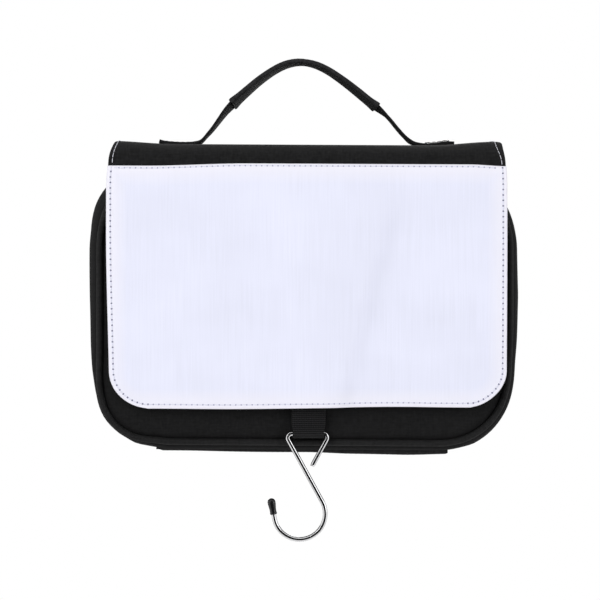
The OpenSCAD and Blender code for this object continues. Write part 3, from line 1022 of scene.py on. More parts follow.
def skin_points(piece, seam_y, way, rim):
    """A panel's points, how far each is from the shell's rim, and whether it lies on the inside."""
    points = np.array([v.co for v in piece.data.vertices])
    flat = points / MM - np.array([0, 0, BASE_Z / MM])
    gap = np.linalg.norm(flat[:, None, [0, 2]] - rim[None, ::2], axis=2).min(1)
    return points, gap, (flat[:, 1] - seam_y) * way < 0.3


def bake(piece):
    """Turns a piece's modifiers into its mesh."""
    graph = bpy.context.evaluated_depsgraph_get()
    graph.update()
    made = bpy.data.meshes.new_from_object(piece.evaluated_get(graph))
    piece.modifiers.clear()
    piece.data = made


class BAG_OT_panels(bpy.types.Operator):
    """Make the padded front and back panels inside the beads"""

    bl_idname = "toiletry_bag.panels"
    bl_label = "Front and back panels"

    COUNT = 220
    EDGE_INSET = 5.5
    ROUND_OVER = 4.2
    RIPPLE = 0.22
    BELLY = 2.6
    BACKING = 1.2
    SHARES = (
        0.06, 0.14, 0.24, 0.35, 0.46, 0.57, 0.67, 0.75,
        0.82, 0.87, 0.91, 0.94, 0.96, 0.975, 0.987, 0.995, 1.0,
    )

    def rise(self, xz, inside, way):
        """How far a panel stands off its seam at places inside its edge. The front one has a belly."""
        x, z = xz.T
        ripple = self.RIPPLE * np.sin(x / 17 + z / 29) * np.sin(z / 23 + 1)
        crown = sizes().crown * (1 - np.exp(-inside / self.ROUND_OVER))
        full = soft_step(58, 84, z) * soft_step(166, 128, z) * (way < 0)
        belly = self.BELLY * np.clip(1 - (x / 112) ** 2, 0, 1) * full
        return crown + ripple * soft_step(3, 22, inside) + belly

    def execute(self, context):
        place, normal = outline(even_run(self.COUNT))
        middle = np.array([0.0, MID_Z])
        for name, nodes, seam_y, way, body in (
            ("front_cushion", ("front_panel", "front_foam"), FRONT_Y, -1, "front_shell"),
            ("back_cushion", ("back_panel", "back_foam"), REAR_Y, 1, "rear_shell"),
        ):
            edge = place - (self.EDGE_INSET - hug(place, seam_y))[:, None] * normal
            reach = ((edge - middle) * normal).sum(1)
            rings = [middle + share * (edge - middle) for share in self.SHARES]
            loops = []
            for share, xz in zip(self.SHARES, rings):
                loops.append(upright(xz, seam_y + way * self.rise(xz, (1 - share) * reach, way)))
            loops += [upright(xz, seam_y - way * self.BACKING) for xz in rings[::-1]]
            loops = settle(np.array(loops))
            piece = dish_piece(name, loops[::-1] if way < 0 else loops, "shell_cloth")
            inflate(piece, seam_y, way, place)
            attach(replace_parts(piece, *nodes), body)
        return {"FINISHED"}


class BAG_OT_linings(bpy.types.Operator):
    """Make the lining of each shell, a tub of thin cloth"""

    bl_idname = "toiletry_bag.linings"
    bl_label = "Linings"

    COUNT = 180
    THICK = 0.6
    FLOOR_GAP = 2.2
    TOP_GAP = 2.4
    SIDE_INSET = 3.0
    FLOOR_INSET = 6.0
    FLOOR_ROUND = 42
    FOOT = ((5.5, 0.2), (2.4, 0.9), (0.8, 1.8))
    SHARES = (1.0, 0.97, 0.92, 0.82, 0.66, 0.48, 0.3, 0.12)

    def tub(self, place, normal, way, floor_y, top_y, inside):
        """Rings of one side of a lining, from its rim down the walls and in over the floor."""
        side = [(y, 0.35 * math.sin(y * 0.9)) for y in np.linspace(top_y, floor_y + way * 7, 7)]
        side += [(floor_y + way * (inside + t), k) for t, k in self.FOOT]
        rings = [upright(place - (self.SIDE_INSET + inside + k) * normal, y) for y, k in side]
        middle = np.array([0.0, MID_Z])
        edge = place - (self.FLOOR_INSET + inside) * normal
        for share in self.SHARES:
            xz = middle + share * (edge - middle)
            crease = 0.3 * np.sin(xz[:, 0] / 13 + 1) * np.sin(xz[:, 1] / 19) * (1 - share)
            rings.append(upright(xz, floor_y + way * (inside + crease)))
        return rings

    def execute(self, context):
        place, normal = outline(even_run(self.COUNT))
        for name, node, seam_y, zip_y, body in (
            ("front_lining_cloth", "front_lining", FRONT_Y, ZIP_Y - ZIP_HALF, "front_shell"),
            ("rear_lining_cloth", "rear_lining", REAR_Y, ZIP_Y + ZIP_HALF, "rear_shell"),
        ):
            way = math.copysign(1, zip_y - seam_y)
            floor_y, top_y = seam_y + way * self.FLOOR_GAP, zip_y - way * self.TOP_GAP
            outer, inner = (self.tub(place, normal, way, floor_y, top_y, t) for t in (0.0, self.THICK))
            loops = settle(np.array(outer[::-1] + inner))
            piece = dish_piece(name, loops if way < 0 else loops[::-1], "lining_weave")
            deep = abs(top_y - floor_y)
            flat_w, flat_h = 2 * (HALF_W + deep), WALL_HIGH - WALL_LOW + 2 * deep
            floor = 4 * (HALF_W - self.FLOOR_INSET) * (MID_Z - WALL_LOW - self.FLOOR_INSET)
            floor -= (4 - math.pi) * self.FLOOR_ROUND**2
            flat_w * MM
            flat_h * MM
            name.split("_")[0] + "_side_wall"
            (floor + outline_length() * deep) * MM * MM
            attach(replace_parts(piece, node), body)
        return {"FINISHED"}


# Zip: tapes, coils, sliders and pulls


def zip_run(step):
    """Lengths along the outline where the zip runs, round the sides and the top."""
    end = BASE_FRONT[1][0] + 0.5
    total = outline_length() - 2 * end
    return end + np.linspace(0, total, int(total / step) + 1)


class BAG_OT_zip(bpy.types.Operator):
    """Make the zip's two tapes and two coils"""

    bl_idname = "toiletry_bag.zip"
    bl_label = "Zip"

    RECESS = 5.5
    GAP = 0.2
    TOOTH = 1.5
    PITCH = 1.55
    TAPE_STEP = 3.0
    TAPE_THICK = 0.7
    TAPE = (
        (0.2, 0.0), (1.6, 0.05), (2.0, 0.1), (3.6, 0.2), (5.2, 0.2), (6.2, 0.8), (7.2, 1.1), (8.2, 0.4),
        (9.4, -1.2), (10.8, -1.75),
    )

    def execute(self, context):
        for name, node, way, body in (
            ("front_zip_tape", "zip_tape_front", -1, "front_shell"),
            ("rear_zip_tape", "zip_tape_rear", 1, "rear_shell"),
        ):
            s = zip_run(self.TAPE_STEP)
            place, normal = outline(s)
            rows = [upright(place - (self.RECESS + low) * normal, ZIP_Y + way * t) for t, low in self.TAPE]
            outer = settle(np.array(rows))
            inner = outer - self.TAPE_THICK * upright(normal, 0.0)
            if way < 0:
                outer, inner = outer[::-1], inner[::-1]
            across = lengths(outer[:, 0])
            places = [[(a, b) for b in s] for a in across]
            piece = sheet_piece(name, outer, inner, places, ["tape_weave"])
            flat = (across[-1] * MM, (s[-1] - s[0]) * MM)
            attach(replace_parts(piece, node), body)
        shape, faces = self.tooth()
        for name, node, way, start, body in (
            ("front_zip_coil", "zip_teeth_front", -1, 0.0, "front_shell"),
            ("rear_zip_coil", "zip_teeth_rear", 1, 0.5, "rear_shell"),
        ):
            place, normal = outline(zip_run(self.PITCH)[1:-1] + start * self.PITCH)
            y = ZIP_Y + way * (self.GAP + self.TOOTH / 2)
            spots = settle(upright(place - (self.RECESS - self.TOOTH / 2) * normal, y))
            frames = [(p, (-n[2], 0, n[0]), (0, way, 0), n) for p, n in zip(spots, upright(normal, 0.0))]
            piece = copies(name, shape, faces if way > 0 else [f[::-1] for f in faces], frames, "zip_coil")
            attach(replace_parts(piece, node), body)
        return {"FINISHED"}

    def tooth(self):
        """One loop of the coil: a short round rod across the zip, thicker at its head."""
        stations = (
            (-0.75, 0.30), (-0.68, 0.44), (-0.3, 0.5), (0.1, 0.42), (0.5, 0.42), (0.72, 0.36), (0.75, 0.2),
        )
        ring = circle_section(1.0, 8)
        ring[:, 1] *= 1.35
        points = np.vstack([np.insert(ring * r, 1, t, axis=1) for t, r in stations])
        return points, rod_faces(len(stations), 8, -1)


def side_view_piece(name, loops, faces, material):
    """A piece of loops of points that takes its places on the finish from its side view."""
    points = loops.reshape(-1, 3)
    places = [points[v][[1, 2]] for face in faces for v in face]
    return make_piece(name, points, faces, places, [material])


def plate_piece(name, rim, hole, half_t, edge, place, material):
    """A flat plate with a soft edge and a hole. Rim and hole go round side by side in (across, up)."""
    levels = [(-half_t, edge), (-half_t + edge, 0.0), (half_t - edge, 0.0), (half_t, edge)]
    loops = []
    for line, way in ((rim, -1), (hole, 1)):
        middle = line.mean(0)
        size = np.linalg.norm(line - middle, axis=1)[:, None]
        for level, inset in levels[::-way]:
            loops.append(np.insert(middle + (line - middle) * (1 + way * inset / size), 0, level, axis=1))
    loops = np.array(loops) + np.asarray(place)
    return side_view_piece(name, loops, lattice(*loops.shape[:2], True, True)[0], material)


class BAG_OT_sliders(bpy.types.Operator):
    """Make the zip's two sliders and their pulls"""

    bl_idname = "toiletry_bag.sliders"
    bl_label = "Zip sliders and pulls"

    PINCH = 0.16
    LEVELS = ((0.0, 0.9), (0.15, 0.97), (0.5, 1.0), (1.5, 1.0), (2.0, 0.96), (2.3, 0.88), (2.4, 0.7))
    PULL_TOP = 1.0
    PULL_LOW = -18.0
    PULL_HALF = 2.35
    PULL_NECK = 0.55
    PULL_THICK = 1.1

    def execute(self, context):
        low, high = SLIDER_BOX
        half = (high - low) / 2
        mid_z = (low[2] + high[2]) / 2
        hinge = pin("pull_right_tilt")
        a = np.arange(40) * TURN / 40
        pinch = 1 - self.PINCH * soft_step(0.3, -1.0, np.sin(a))
        rim = np.stack([half[1] * pinch * squarish(np.cos(a), 0.55), half[2] * squarish(np.sin(a), 0.55)], 1)
        loops = np.array([np.insert(rim * k, 0, low[0] + t, axis=1) for t, k in self.LEVELS])
        loops += np.array([0, ZIP_Y, mid_z])
        arch = through([
            (low[0] + 1.6, mid_z - 3.4), (low[0] + 3.3, mid_z - 2.6), (hinge[0] + 1.15, mid_z),
            (low[0] + 3.3, mid_z + 2.6), (low[0] + 1.6, mid_z + 3.4),
        ], 22)
        strip = round_section(1.1, 0.42, 0.3)
        for side, way in (("left", -1), ("right", 1)):
            flip = np.array([way, 1, 1])
            faces = [face[::way] for face in rod_faces(*loops.shape[:2], -1)]
            body = side_view_piece(f"slider_body_{side}", loops * flip, faces, "slider_paint")
            path = upright(arch, ZIP_Y) * flip
            bridge = swept(f"slider_bridge_{side}", path, (0, 1, 0), strip, "slider_paint")
            for piece in (body, bridge):
                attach(piece, f"slider_{side}")
            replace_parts(body, f"zip_slider_{side}")
            pull = self.pull(side, (way * hinge[0], ZIP_Y, hinge[2]))
            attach(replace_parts(pull, f"zip_pull_{side}"), f"pull_{side}")
        return {"FINISHED"}

    def pull(self, side, place):
        """A pull: a slim plate that narrows to a ring round the bridge."""
        a = np.arange(48) * TURN / 48
        mid, half = (self.PULL_TOP + self.PULL_LOW) / 2, (self.PULL_TOP - self.PULL_LOW) / 2
        up = squarish(np.sin(a), 0.7)
        wide = self.PULL_HALF - self.PULL_NECK * soft_step(-0.2, 0.9, up)
        rim = np.stack([wide * squarish(np.cos(a), 0.6), mid + half * up], 1)
        hole = np.stack([1.25 * squarish(np.cos(a), 0.8), 2.25 * squarish(np.sin(a), 0.8) - 1.8], 1)
        return plate_piece(f"slider_pull_{side}", rim, hole, self.PULL_THICK / 2, 0.2, place, "slider_paint")


class BAG_OT_base(bpy.types.Operator):
    """Make the base strip as one piece across the zip line; the real strip bends there when the bag opens"""

    bl_idname = "toiletry_bag.base"
    bl_label = "Base strip"

    DROP = 0.9
    TILT = 1.5
    SAG = 0.9
    SEAM_INSET = 1.8
    BEND_HALF = 3

    def hang(self, x):
        """Height of the strip's underside, which hangs lowest near its right end."""
        half_l = BASE_FRONT[1][0]
        wave = 0.25 * np.sin(x / 19) * soft_step(0, 30, half_l - np.abs(x))
        sag = self.SAG * soft_step(0, 30, x) * soft_step(92, 58, x)
        return wave - self.DROP - self.TILT * x / half_l - sag

    def execute(self, context):
        half_l = BASE_FRONT[1][0]
        front, rear = BASE_FRONT[0][1], BASE_REAR[1][1]
        thick = BASE_FRONT[1][2]
        ends, sides = np.array([0, 0.5, 1.4]), np.array([0, 0.4, 1.2, 3])
        x = np.concatenate([ends - half_l - 2, np.linspace(-half_l + 2, half_l - 4, 48), half_l - ends[::-1]])
        y = np.concatenate([front + sides, np.linspace(front + 6, rear - 6, 16), rear - sides[::-1]])
        xx, yy = np.meshgrid(x, y)
        edge = np.minimum(half_l - np.abs(xx), np.minimum(yy - front, rear - yy))
        soft = 0.8 * (1 - np.clip(edge / 1.4, 0, 1)) ** 2
        drop = self.hang(xx)
        low = np.stack([xx, yy, drop + soft], -1)
        high = np.stack([xx, yy, thick - 0.3 + 0.4 * drop - soft * 0.6], -1)
        piece = sheet_piece("base_cloth", low[::-1], high[::-1], on_grid(x, y)[::-1], ["base_cloth"])
        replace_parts(piece, "base_strip_front", "base_strip_rear")
        starts, stops = (row_point(0, ZIP_Y + way * self.BEND_HALF, 0) for way in (1, -1))
        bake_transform(piece)
        run = np.linspace(-half_l + 3, half_l - 3, 120)
        for name, y_line, body in (
            ("base_stitches_front", front + self.SEAM_INSET, "front_shell"),
            ("base_stitches_rear", rear - self.SEAM_INSET, "rear_shell"),
        ):
            line = upright(np.stack([run, self.hang(run) + 0.4], 1), y_line)
            sew(name, [(line, (0, 0, -1.0))], body, "dark_thread")
        return {"FINISHED"}


class BAG_OT_pocket(bpy.types.Operator):
    """Make the net pocket inside the rear shell, with its elastic edge"""

    bl_idname = "toiletry_bag.pocket"
    bl_label = "Net pocket"

    BELLY = 2.4
    GATHER = 0.35
    FULLNESS = 1.12
    NET_THICK = 0.35

    def depth(self, x, share):
        """Depth of the net at x and a share of its height. It bellies out and is gathered at its top."""
        low, high = POCKET_BOX
        across = 2 * (x - low[0]) / (high[0] - low[0]) - 1
        belly = self.BELLY * (1 - across**6) * (1 - (1 - share) ** 5)
        return high[1] - 0.5 - belly - self.GATHER * np.sin(x / 1.9) * share**3

    def execute(self, context):
        low, high = POCKET_BOX
        wide, tall = high[0] - low[0], high[2] - low[2]
        x = np.linspace(low[0], high[0], 61)
        z = np.linspace(low[2], high[2], 29)
        xx, zz = np.meshgrid(x, z)
        front = np.stack([xx, self.depth(xx, (zz - low[2]) / tall), zz], -1)
        back = front + np.array([0, self.NET_THICK, 0])
        piece = sheet_piece("pocket_cloth", front, back, on_grid(x, z), ["pocket_net"])
        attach(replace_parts(piece, "mesh_pocket"), "rear_shell")
        bottom, top = ELASTIC_BOX[0][2], ELASTIC_BOX[1][2]
        x = np.linspace(low[0], high[0], 181)
        path = np.stack([x, self.depth(x, 1.0), np.full_like(x, (bottom + top) / 2 - 0.4)], 1)
        section = round_section((top - bottom) / 2, 0.5, 0.4)
        band = swept("pocket_elastic_band", path, (0, 0, 1), section, "elastic_band")
        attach(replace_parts(band, "pocket_elastic"), "rear_shell")
        foot = high[1] - 0.6
        lines = [[(end, foot, z) for z in np.linspace(low[2], top, 20)] for end in (low[0], high[0])]
        lines.append([(x, foot, low[2]) for x in np.linspace(low[0], high[0], 60)])
        section = round_section(0.6, 2.6, 0.5)
        for k, line in enumerate(lines, 1):
            edge = swept(f"pocket_binding_{k}", np.array(line), (0, 1, 0), section, "handle_webbing")
            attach(edge, "rear_shell")
        return {"FINISHED"}


# Cover: the tail on the back, the top, the flap and its pale face


class CoverPath:
    """The cover's outer line in a side view, by its length from the flap's lower edge."""

    def __init__(self):
        r = sizes().fold
        rise = COVER_TOP - r - FLAP_LOW
        flat = BACK_Y - FLAP_Y - 2 * r
        fall = COVER_TOP - r - YOKE_LOW
        arc = r * math.pi / 2
        self.marks = np.cumsum([0, rise, arc, flat, arc, fall])
        self.r = r

    def at(self, v):
        """Y, Z and the outward normal's Y, Z at lengths v."""
        v = np.asarray(v, float)
        m, r = self.marks, self.r
        a = np.clip((v - m[1]) / r, 0, math.pi / 2)
        b = np.clip((v - m[3]) / r, 0, math.pi / 2)
        flat = np.clip(v - m[2], 0, m[3] - m[2])
        down = np.clip(v - m[4], 0, None)
        y = FLAP_Y + r * (1 - np.cos(a)) + flat + r * np.sin(b)
        z = FLAP_LOW + np.clip(v, None, m[1]) + r * np.sin(a) - r * (1 - np.cos(b)) - down
        turn = a + b
        return y, z, -np.cos(turn), np.sin(turn)


FLAP_SIDES = {
    -1: {"wider_top": 0.0, "step": 0.9, "dent": 0.0, "taper": 1.9, "round": 22.3, "power": 1.92},
    1: {"wider_top": 2.4, "step": 0.4, "dent": 0.6, "taper": 0.5, "round": 21.5, "power": 1.75},
}
TAIL_TAPER = 1.5


def flap_half(v, side):
    """Half the width of the cover at a length v, on the left (-1) or the right (1)."""
    m = CoverPath().marks
    shape = FLAP_SIDES[side]
    half_flap, half_top = FLAP_BOX[1][0], SPINE_BOX[1][0] + shape["wider_top"]
    half = half_flap + (half_top - half_flap) * soft_step(FACE_HIGH, m[2], v)
    half = half - shape["step"] * soft_step(FACE_HIGH - 10, FACE_HIGH + 2, v)
    half = half - shape["dent"] * hump(v, m[1] + 9, 7)
    half = half - TAIL_TAPER * soft_step(m[4], m[5], v)
    half = half - shape["taper"] * soft_step(FACE_HIGH * 0.75, 0, v)
    r, power = shape["round"], shape["power"]
    t = np.clip(1 - v / r, 0, 1)
    return half - r * (1 - (1 - t**power) ** (1 / power))


DOME = 2.9
DOME_HALF = 36
DOME_DROP = 2.0
LEFT_END_LIFT = 1.7
RIGHT_END_LIFT = 2.4
FLAP_BOW = 0.9
CREASE_X = 21
CREASE_LEAN = 0.26
CREASE_DEEP = 2.6
CREASE_SOFT = 6.6
CREASE_WIDE = 36


def cover_points(x, v, out):
    """Points of the cover's cloth at x and a length v along it, raised by out along its normal."""
    path = CoverPath()
    m = path.marks
    y, z, ny, nz = path.at(v)
    on_top = soft_step(m[1], m[2], v) * (1 - soft_step(m[3], m[4], v))
    dome = DOME * (1 - ((y + 2) / DOME_HALF) ** 2) - DOME_DROP
    ends = LEFT_END_LIFT * soft_step(-78, -116, x) + RIGHT_END_LIFT * soft_step(74, 114, x)
    lift = (dome + ends) * on_top
    on_flap = soft_step(m[1], m[1] - 40, v)
    wave = 0.55 * np.sin(x / 34 + 0.7) * np.sin(v / 41 + 0.3) + 0.3 * np.sin((x + v) / 19) * np.sin(x / 47)
    bow = FLAP_BOW * np.sin(np.clip(v / m[1], 0, 1) * math.pi) - 0.5 * soft_step(30, 0, v) * np.sin(x / 27)
    off = x - CREASE_X - CREASE_LEAN * v
    crease = (0.6 - CREASE_DEEP * np.tanh(off / CREASE_SOFT)) * hump(off, 0, CREASE_WIDE)
    crease = crease * soft_step(145, 105, v)
    out = out + (wave + bow + crease) * on_flap
    dip = (0.55 + 0.9 * hump(x, 55, 32) + 0.2 * np.sin(x / 17 + 1)) * soft_step(16, 0, v)
    return np.stack(np.broadcast_arrays(x, y + ny * out, z + nz * out + lift + dip), -1)


COVER_COLUMNS = 111
EDGE_COLUMNS = (0.0, 0.006, 0.016, 0.034, 0.06)


def cover_columns():
    """Shares from -1 to 1 across the cover, closer together at its edges."""
    left = [t - 1 for t in EDGE_COLUMNS]
    return np.array([*left, *np.linspace(-0.9, 0.9, COVER_COLUMNS), *(-t for t in left[::-1])])


def cover_lattice(v_rows, out, grow=0.0, pillow=0.0):
    """Points of the cover for rows at lengths v, drawn in at its edges by a pillow, and their places."""
    c = cover_columns()
    points, places = [], []
    for v, raised in zip(v_rows, np.broadcast_to(out, np.shape(v_rows))):
        left, right = (flap_half(max(v, 0.0), side) + grow for side in (-1, 1))
        x = np.where(c < 0, c * left, c * right)
        edge = np.minimum(np.where(c < 0, x + left, right - x), max(v + grow, 0))
        drawn = pillow * (1 - np.clip(edge / 1.6, 0, 1)) ** 2
        points.append(cover_points(x, np.full_like(x, v), raised - drawn))
        places.append([(a, v) for a in x])
    return np.array(points), places


def corner_rows(count):
    """Lengths of rows round the flap's lower corners, closest together at the edge."""
    return FACE_ROUND * (1 - np.cos(np.linspace(0, math.pi / 2, count)))


def flap_rows(start, stop):
    """Lengths of the flap's rows, close together round the lower corners."""
    return np.concatenate([[start, start + 0.45], corner_rows(15)[2:], np.arange(27.0, stop, 5.5), [stop]])


def front_fold():
    """Bodies on both sides of the cover's front fold, and where the fold starts and ends."""
    r = sizes().fold
    return "top_cover", "flap", row_point(0, FLAP_Y + r, COVER_TOP), row_point(0, FLAP_Y, COVER_TOP - r)


def rear_fold():
    """The same for the rear fold."""
    r = sizes().fold
    return "rear_shell", "top_cover", row_point(0, BACK_Y, COVER_TOP - r), row_point(0, BACK_Y - r, COVER_TOP)


LAP = 6.0
LAP_LIFT = 0.45


def lap_edge():
    """Length along the cover of the edge where the front cloth laps over the back one."""
    return CoverPath().marks[3] - 5


def lapped(v):
    """Share of the lap's lift of the front cloth at lengths v."""
    return soft_step(lap_edge() - LAP - 1.5, lap_edge() - LAP + 0.5, v)


class BAG_OT_cover(bpy.types.Operator):
    """Make the cover of the top and the back, and the flap in front"""

    bl_idname = "toiletry_bag.cover"
    bl_label = "Cover and flap"

    SEAMS = (1.4, 4.4)
    LAP_THICK = 0.55
    LAP_SINK = 0.65

    def execute(self, context):
        t = sizes().cover
        m = CoverPath().marks
        edge = lap_edge()
        front_rows = np.concatenate([
            flap_rows(0.0, m[1]), np.linspace(m[1], m[2], 13)[1:-1], np.linspace(m[2], edge - LAP - 2, 8),
            edge - np.array([LAP + 1, LAP, LAP - 1, 3.5, 1.5, 0.5, 0.0]),
        ])
        back_rows = np.concatenate([
            edge + np.array([-LAP, -3, -0.5, 0.3, 1, 1.8]), np.linspace(m[3], m[4], 13)[:-1],
            np.linspace(m[4], m[5] - 1.2, 7), [m[5] - 0.4, m[5]],
        ])
        over = lapped(front_rows)
        under = 1 - soft_step(edge - 0.5, edge + 1.8, back_rows)
        for name, rows, out, deep, nodes, fold in (
            ("flap_cloth", front_rows, LAP_LIFT * over, -t + (t - self.LAP_THICK) * over,
             ("flap_cover", "flap_board", "flap_lining"), front_fold()),
            ("top_cloth", back_rows, -self.LAP_SINK * under, -t,
             ("spine_cover", "spine_board", "spine_lining", "flap_yoke"), rear_fold()),
        ):
            outer, places = cover_lattice(rows, out, pillow=0.7)
            inner, _ = cover_lattice(rows, deep, pillow=-0.5)
            piece = sheet_piece(name, outer, inner, places, ["cover_cloth", "lining_weave"])
            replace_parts(piece, *nodes)
            (rows[-1] - rows[0]) * MM
            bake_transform(piece)
        x = np.linspace(-110, 110, 150)
        lines = [(cover_points(x, np.full(150, edge - back), LAP_LIFT), (0, 0, 1.0)) for back in self.SEAMS]
        sew("lap_stitches", lines, "top_cover", "dark_thread")
        return {"FINISHED"}


class BAG_OT_face(bpy.types.Operator):
    """Make the flap's pale face and sew it on"""

    bl_idname = "toiletry_bag.face"
    bl_label = "Flap face"

    LIFT = 0.5
    INSET = 2.2
    LOW_ROW = 92
    GROW = 0.3
    TOP_INSET = 1.3
    BAND_DRAWN = 1.8
    BAND_INSET = 2.4

    def top(self, x):
        """Height of the face's upper edge above the flap's lower edge."""
        return FACE_HIGH + 0.2 - 1.6 * soft_step(-35, -95, x) - 0.9 * soft_step(96, 116, x)

    def execute(self, context):
        rows = flap_rows(-self.GROW, FACE_HIGH)
        layers = []
        for out, pillow in ((self.LIFT, 0.35), (0.1, 0.0)):
            points, places = cover_lattice(rows, out, grow=self.GROW, pillow=pillow)
            points[..., 2] += (rows / rows[-1])[:, None] * (self.top(points[..., 0]) - rows[-1])
            layers.append(points)
        piece = sheet_piece("flap_face_cloth", *layers, places, ["face_weave"])
        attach(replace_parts(piece, "flap_face"), "flap")
        self.stitch_face()
        self.stitch_bands()
        return {"FINISHED"}

    def stitch_face(self):
        """Thread round the face, with dots of painted needle-hole shade in front."""
        v = np.concatenate([np.arange(FACE_HIGH - 1.5, FACE_ROUND, -1.5), corner_rows(30)[::-1]])
        left, right = (np.stack([side * flap_half(v, side), v], 1) for side in (-1, 1))
        rim = np.vstack([left, right[-2::-1]])
        ahead = np.gradient(rim, axis=0)
        ahead /= np.linalg.norm(ahead, axis=1)[:, None]
        rim = spaced(rim + self.INSET * np.stack([-ahead[:, 1], ahead[:, 0]], 1), np.linspace(0, 1, 420))
        first, last = np.flatnonzero((np.abs(rim[:, 0]) < self.LOW_ROW) & (rim[:, 1] < 10))[[0, -1]]
        x = np.linspace(-FLAP_BOX[1][0] + 4, FLAP_BOX[1][0] - 4, 160)
        outlines = (rim[:, 0], rim[:, 1]), (x, self.top(x) - self.TOP_INSET)
        edge, upper = (cover_points(*each, self.LIFT) for each in outlines)
        for name, hole_shade_finish, width, lines in (
            ("side", "needle_hole_shade", 0.6, (edge[:first + 1], edge[last:])),
            ("end", "tight_hole_shade", 0.5, (edge[first - 2:last + 3], upper)),
        ):
            sew(
                f"face_{name}_stitches", [(line, (0, -1.0, 0)) for line in lines], "flap", "face_thread",
                hole_shades=(f"face_{name}_holes", hole_shade_finish, width),
            )
        behind = [(cover_points(*each, 0.05 - sizes().cover), (0, 1.0, 0)) for each in outlines]
        sew("flap_back_stitches", behind, "flap", "band_thread", thread=0.4)

    def stitch_bands(self):
        """Thread along both ends of the cover, and along the hem of its tail."""
        path = CoverPath()
        m = path.marks
        hem = cover_points(np.linspace(-108, 108, 150), np.full(150, m[5] - self.BAND_INSET), 0.0)
        hems = [(hem, (0, 1.0, 0))]
        for name, v, fold, more in (
            ("flap_band_stitches", np.arange(FACE_HIGH, lap_edge() - 0.8, 0.8), front_fold(), []),
            ("top_band_stitches", np.arange(lap_edge() + 2.5, m[5] - 2, 0.8), rear_fold(), hems),
        ):
            _, _, ny, nz = path.at(v)
            outward = np.stack([0 * ny, ny, nz], 1)
            lift = LAP_LIFT * lapped(v) * (v < lap_edge())
            drawn_in = self.BAND_DRAWN * soft_step(FACE_HIGH, FACE_HIGH + 16, v) * soft_step(m[4], m[3], v)
            lines = []
            for side in (-1, 1):
                x = side * (flap_half(v, side) - self.BAND_INSET - drawn_in * (side > 0))
                lines.append((cover_points(x, v, lift), outward))
            sew(name, lines + more, None, "band_thread", thread=0.38, blend=fold)


class BAG_OT_closure(bpy.types.Operator):
    """Make the hook-and-loop pads of the flap's closure"""

    bl_idname = "toiletry_bag.closure"
    bl_label = "Hook-and-loop pads"

    def execute(self, context):
        for node, material, body, way in (
            ("loop_pads", "loop_pile", "front_shell", -1),
            ("hook_pads", "hook_pile", "flap", 1),
        ):
            low, high = corners(node)
            wide, mid_z = self.width(node), (low[2] + high[2]) / 2
            face_y, root_y = (low[1], high[1]) if way < 0 else (high[1], low[1] + 0.3)
            section = round_section(wide / 2, (high[2] - low[2]) / 2, 2.0, 5)
            levels = (
                (root_y, 1.0), (root_y + (face_y - root_y) * 0.6, 1.0), (face_y - way * 0.15, 0.985),
                (face_y, 0.955), (face_y + way * 0.12, 0.7), (face_y + way * 0.12, 0.35),
            )
            for side, x in (("left", low[0] + wide / 2), ("right", high[0] - wide / 2)):
                loops = np.array([upright(section * k + np.array([x, mid_z]), y) for y, k in levels])
                piece = dish_piece(f"{node[:4]}_pad_{side}", loops if way < 0 else loops[::-1], material)
                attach(piece, body)
                if side == "left":
                    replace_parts(piece, node)
        return {"FINISHED"}

    def width(self, node):
        """Width of one pad: the pair is symmetric, and the solids keep their edges at the box's ends."""
        points = np.array([v.co.x for v in frame["nodes"][node].data.vertices]) / MM
        return points.max() - points[points > 0].min()


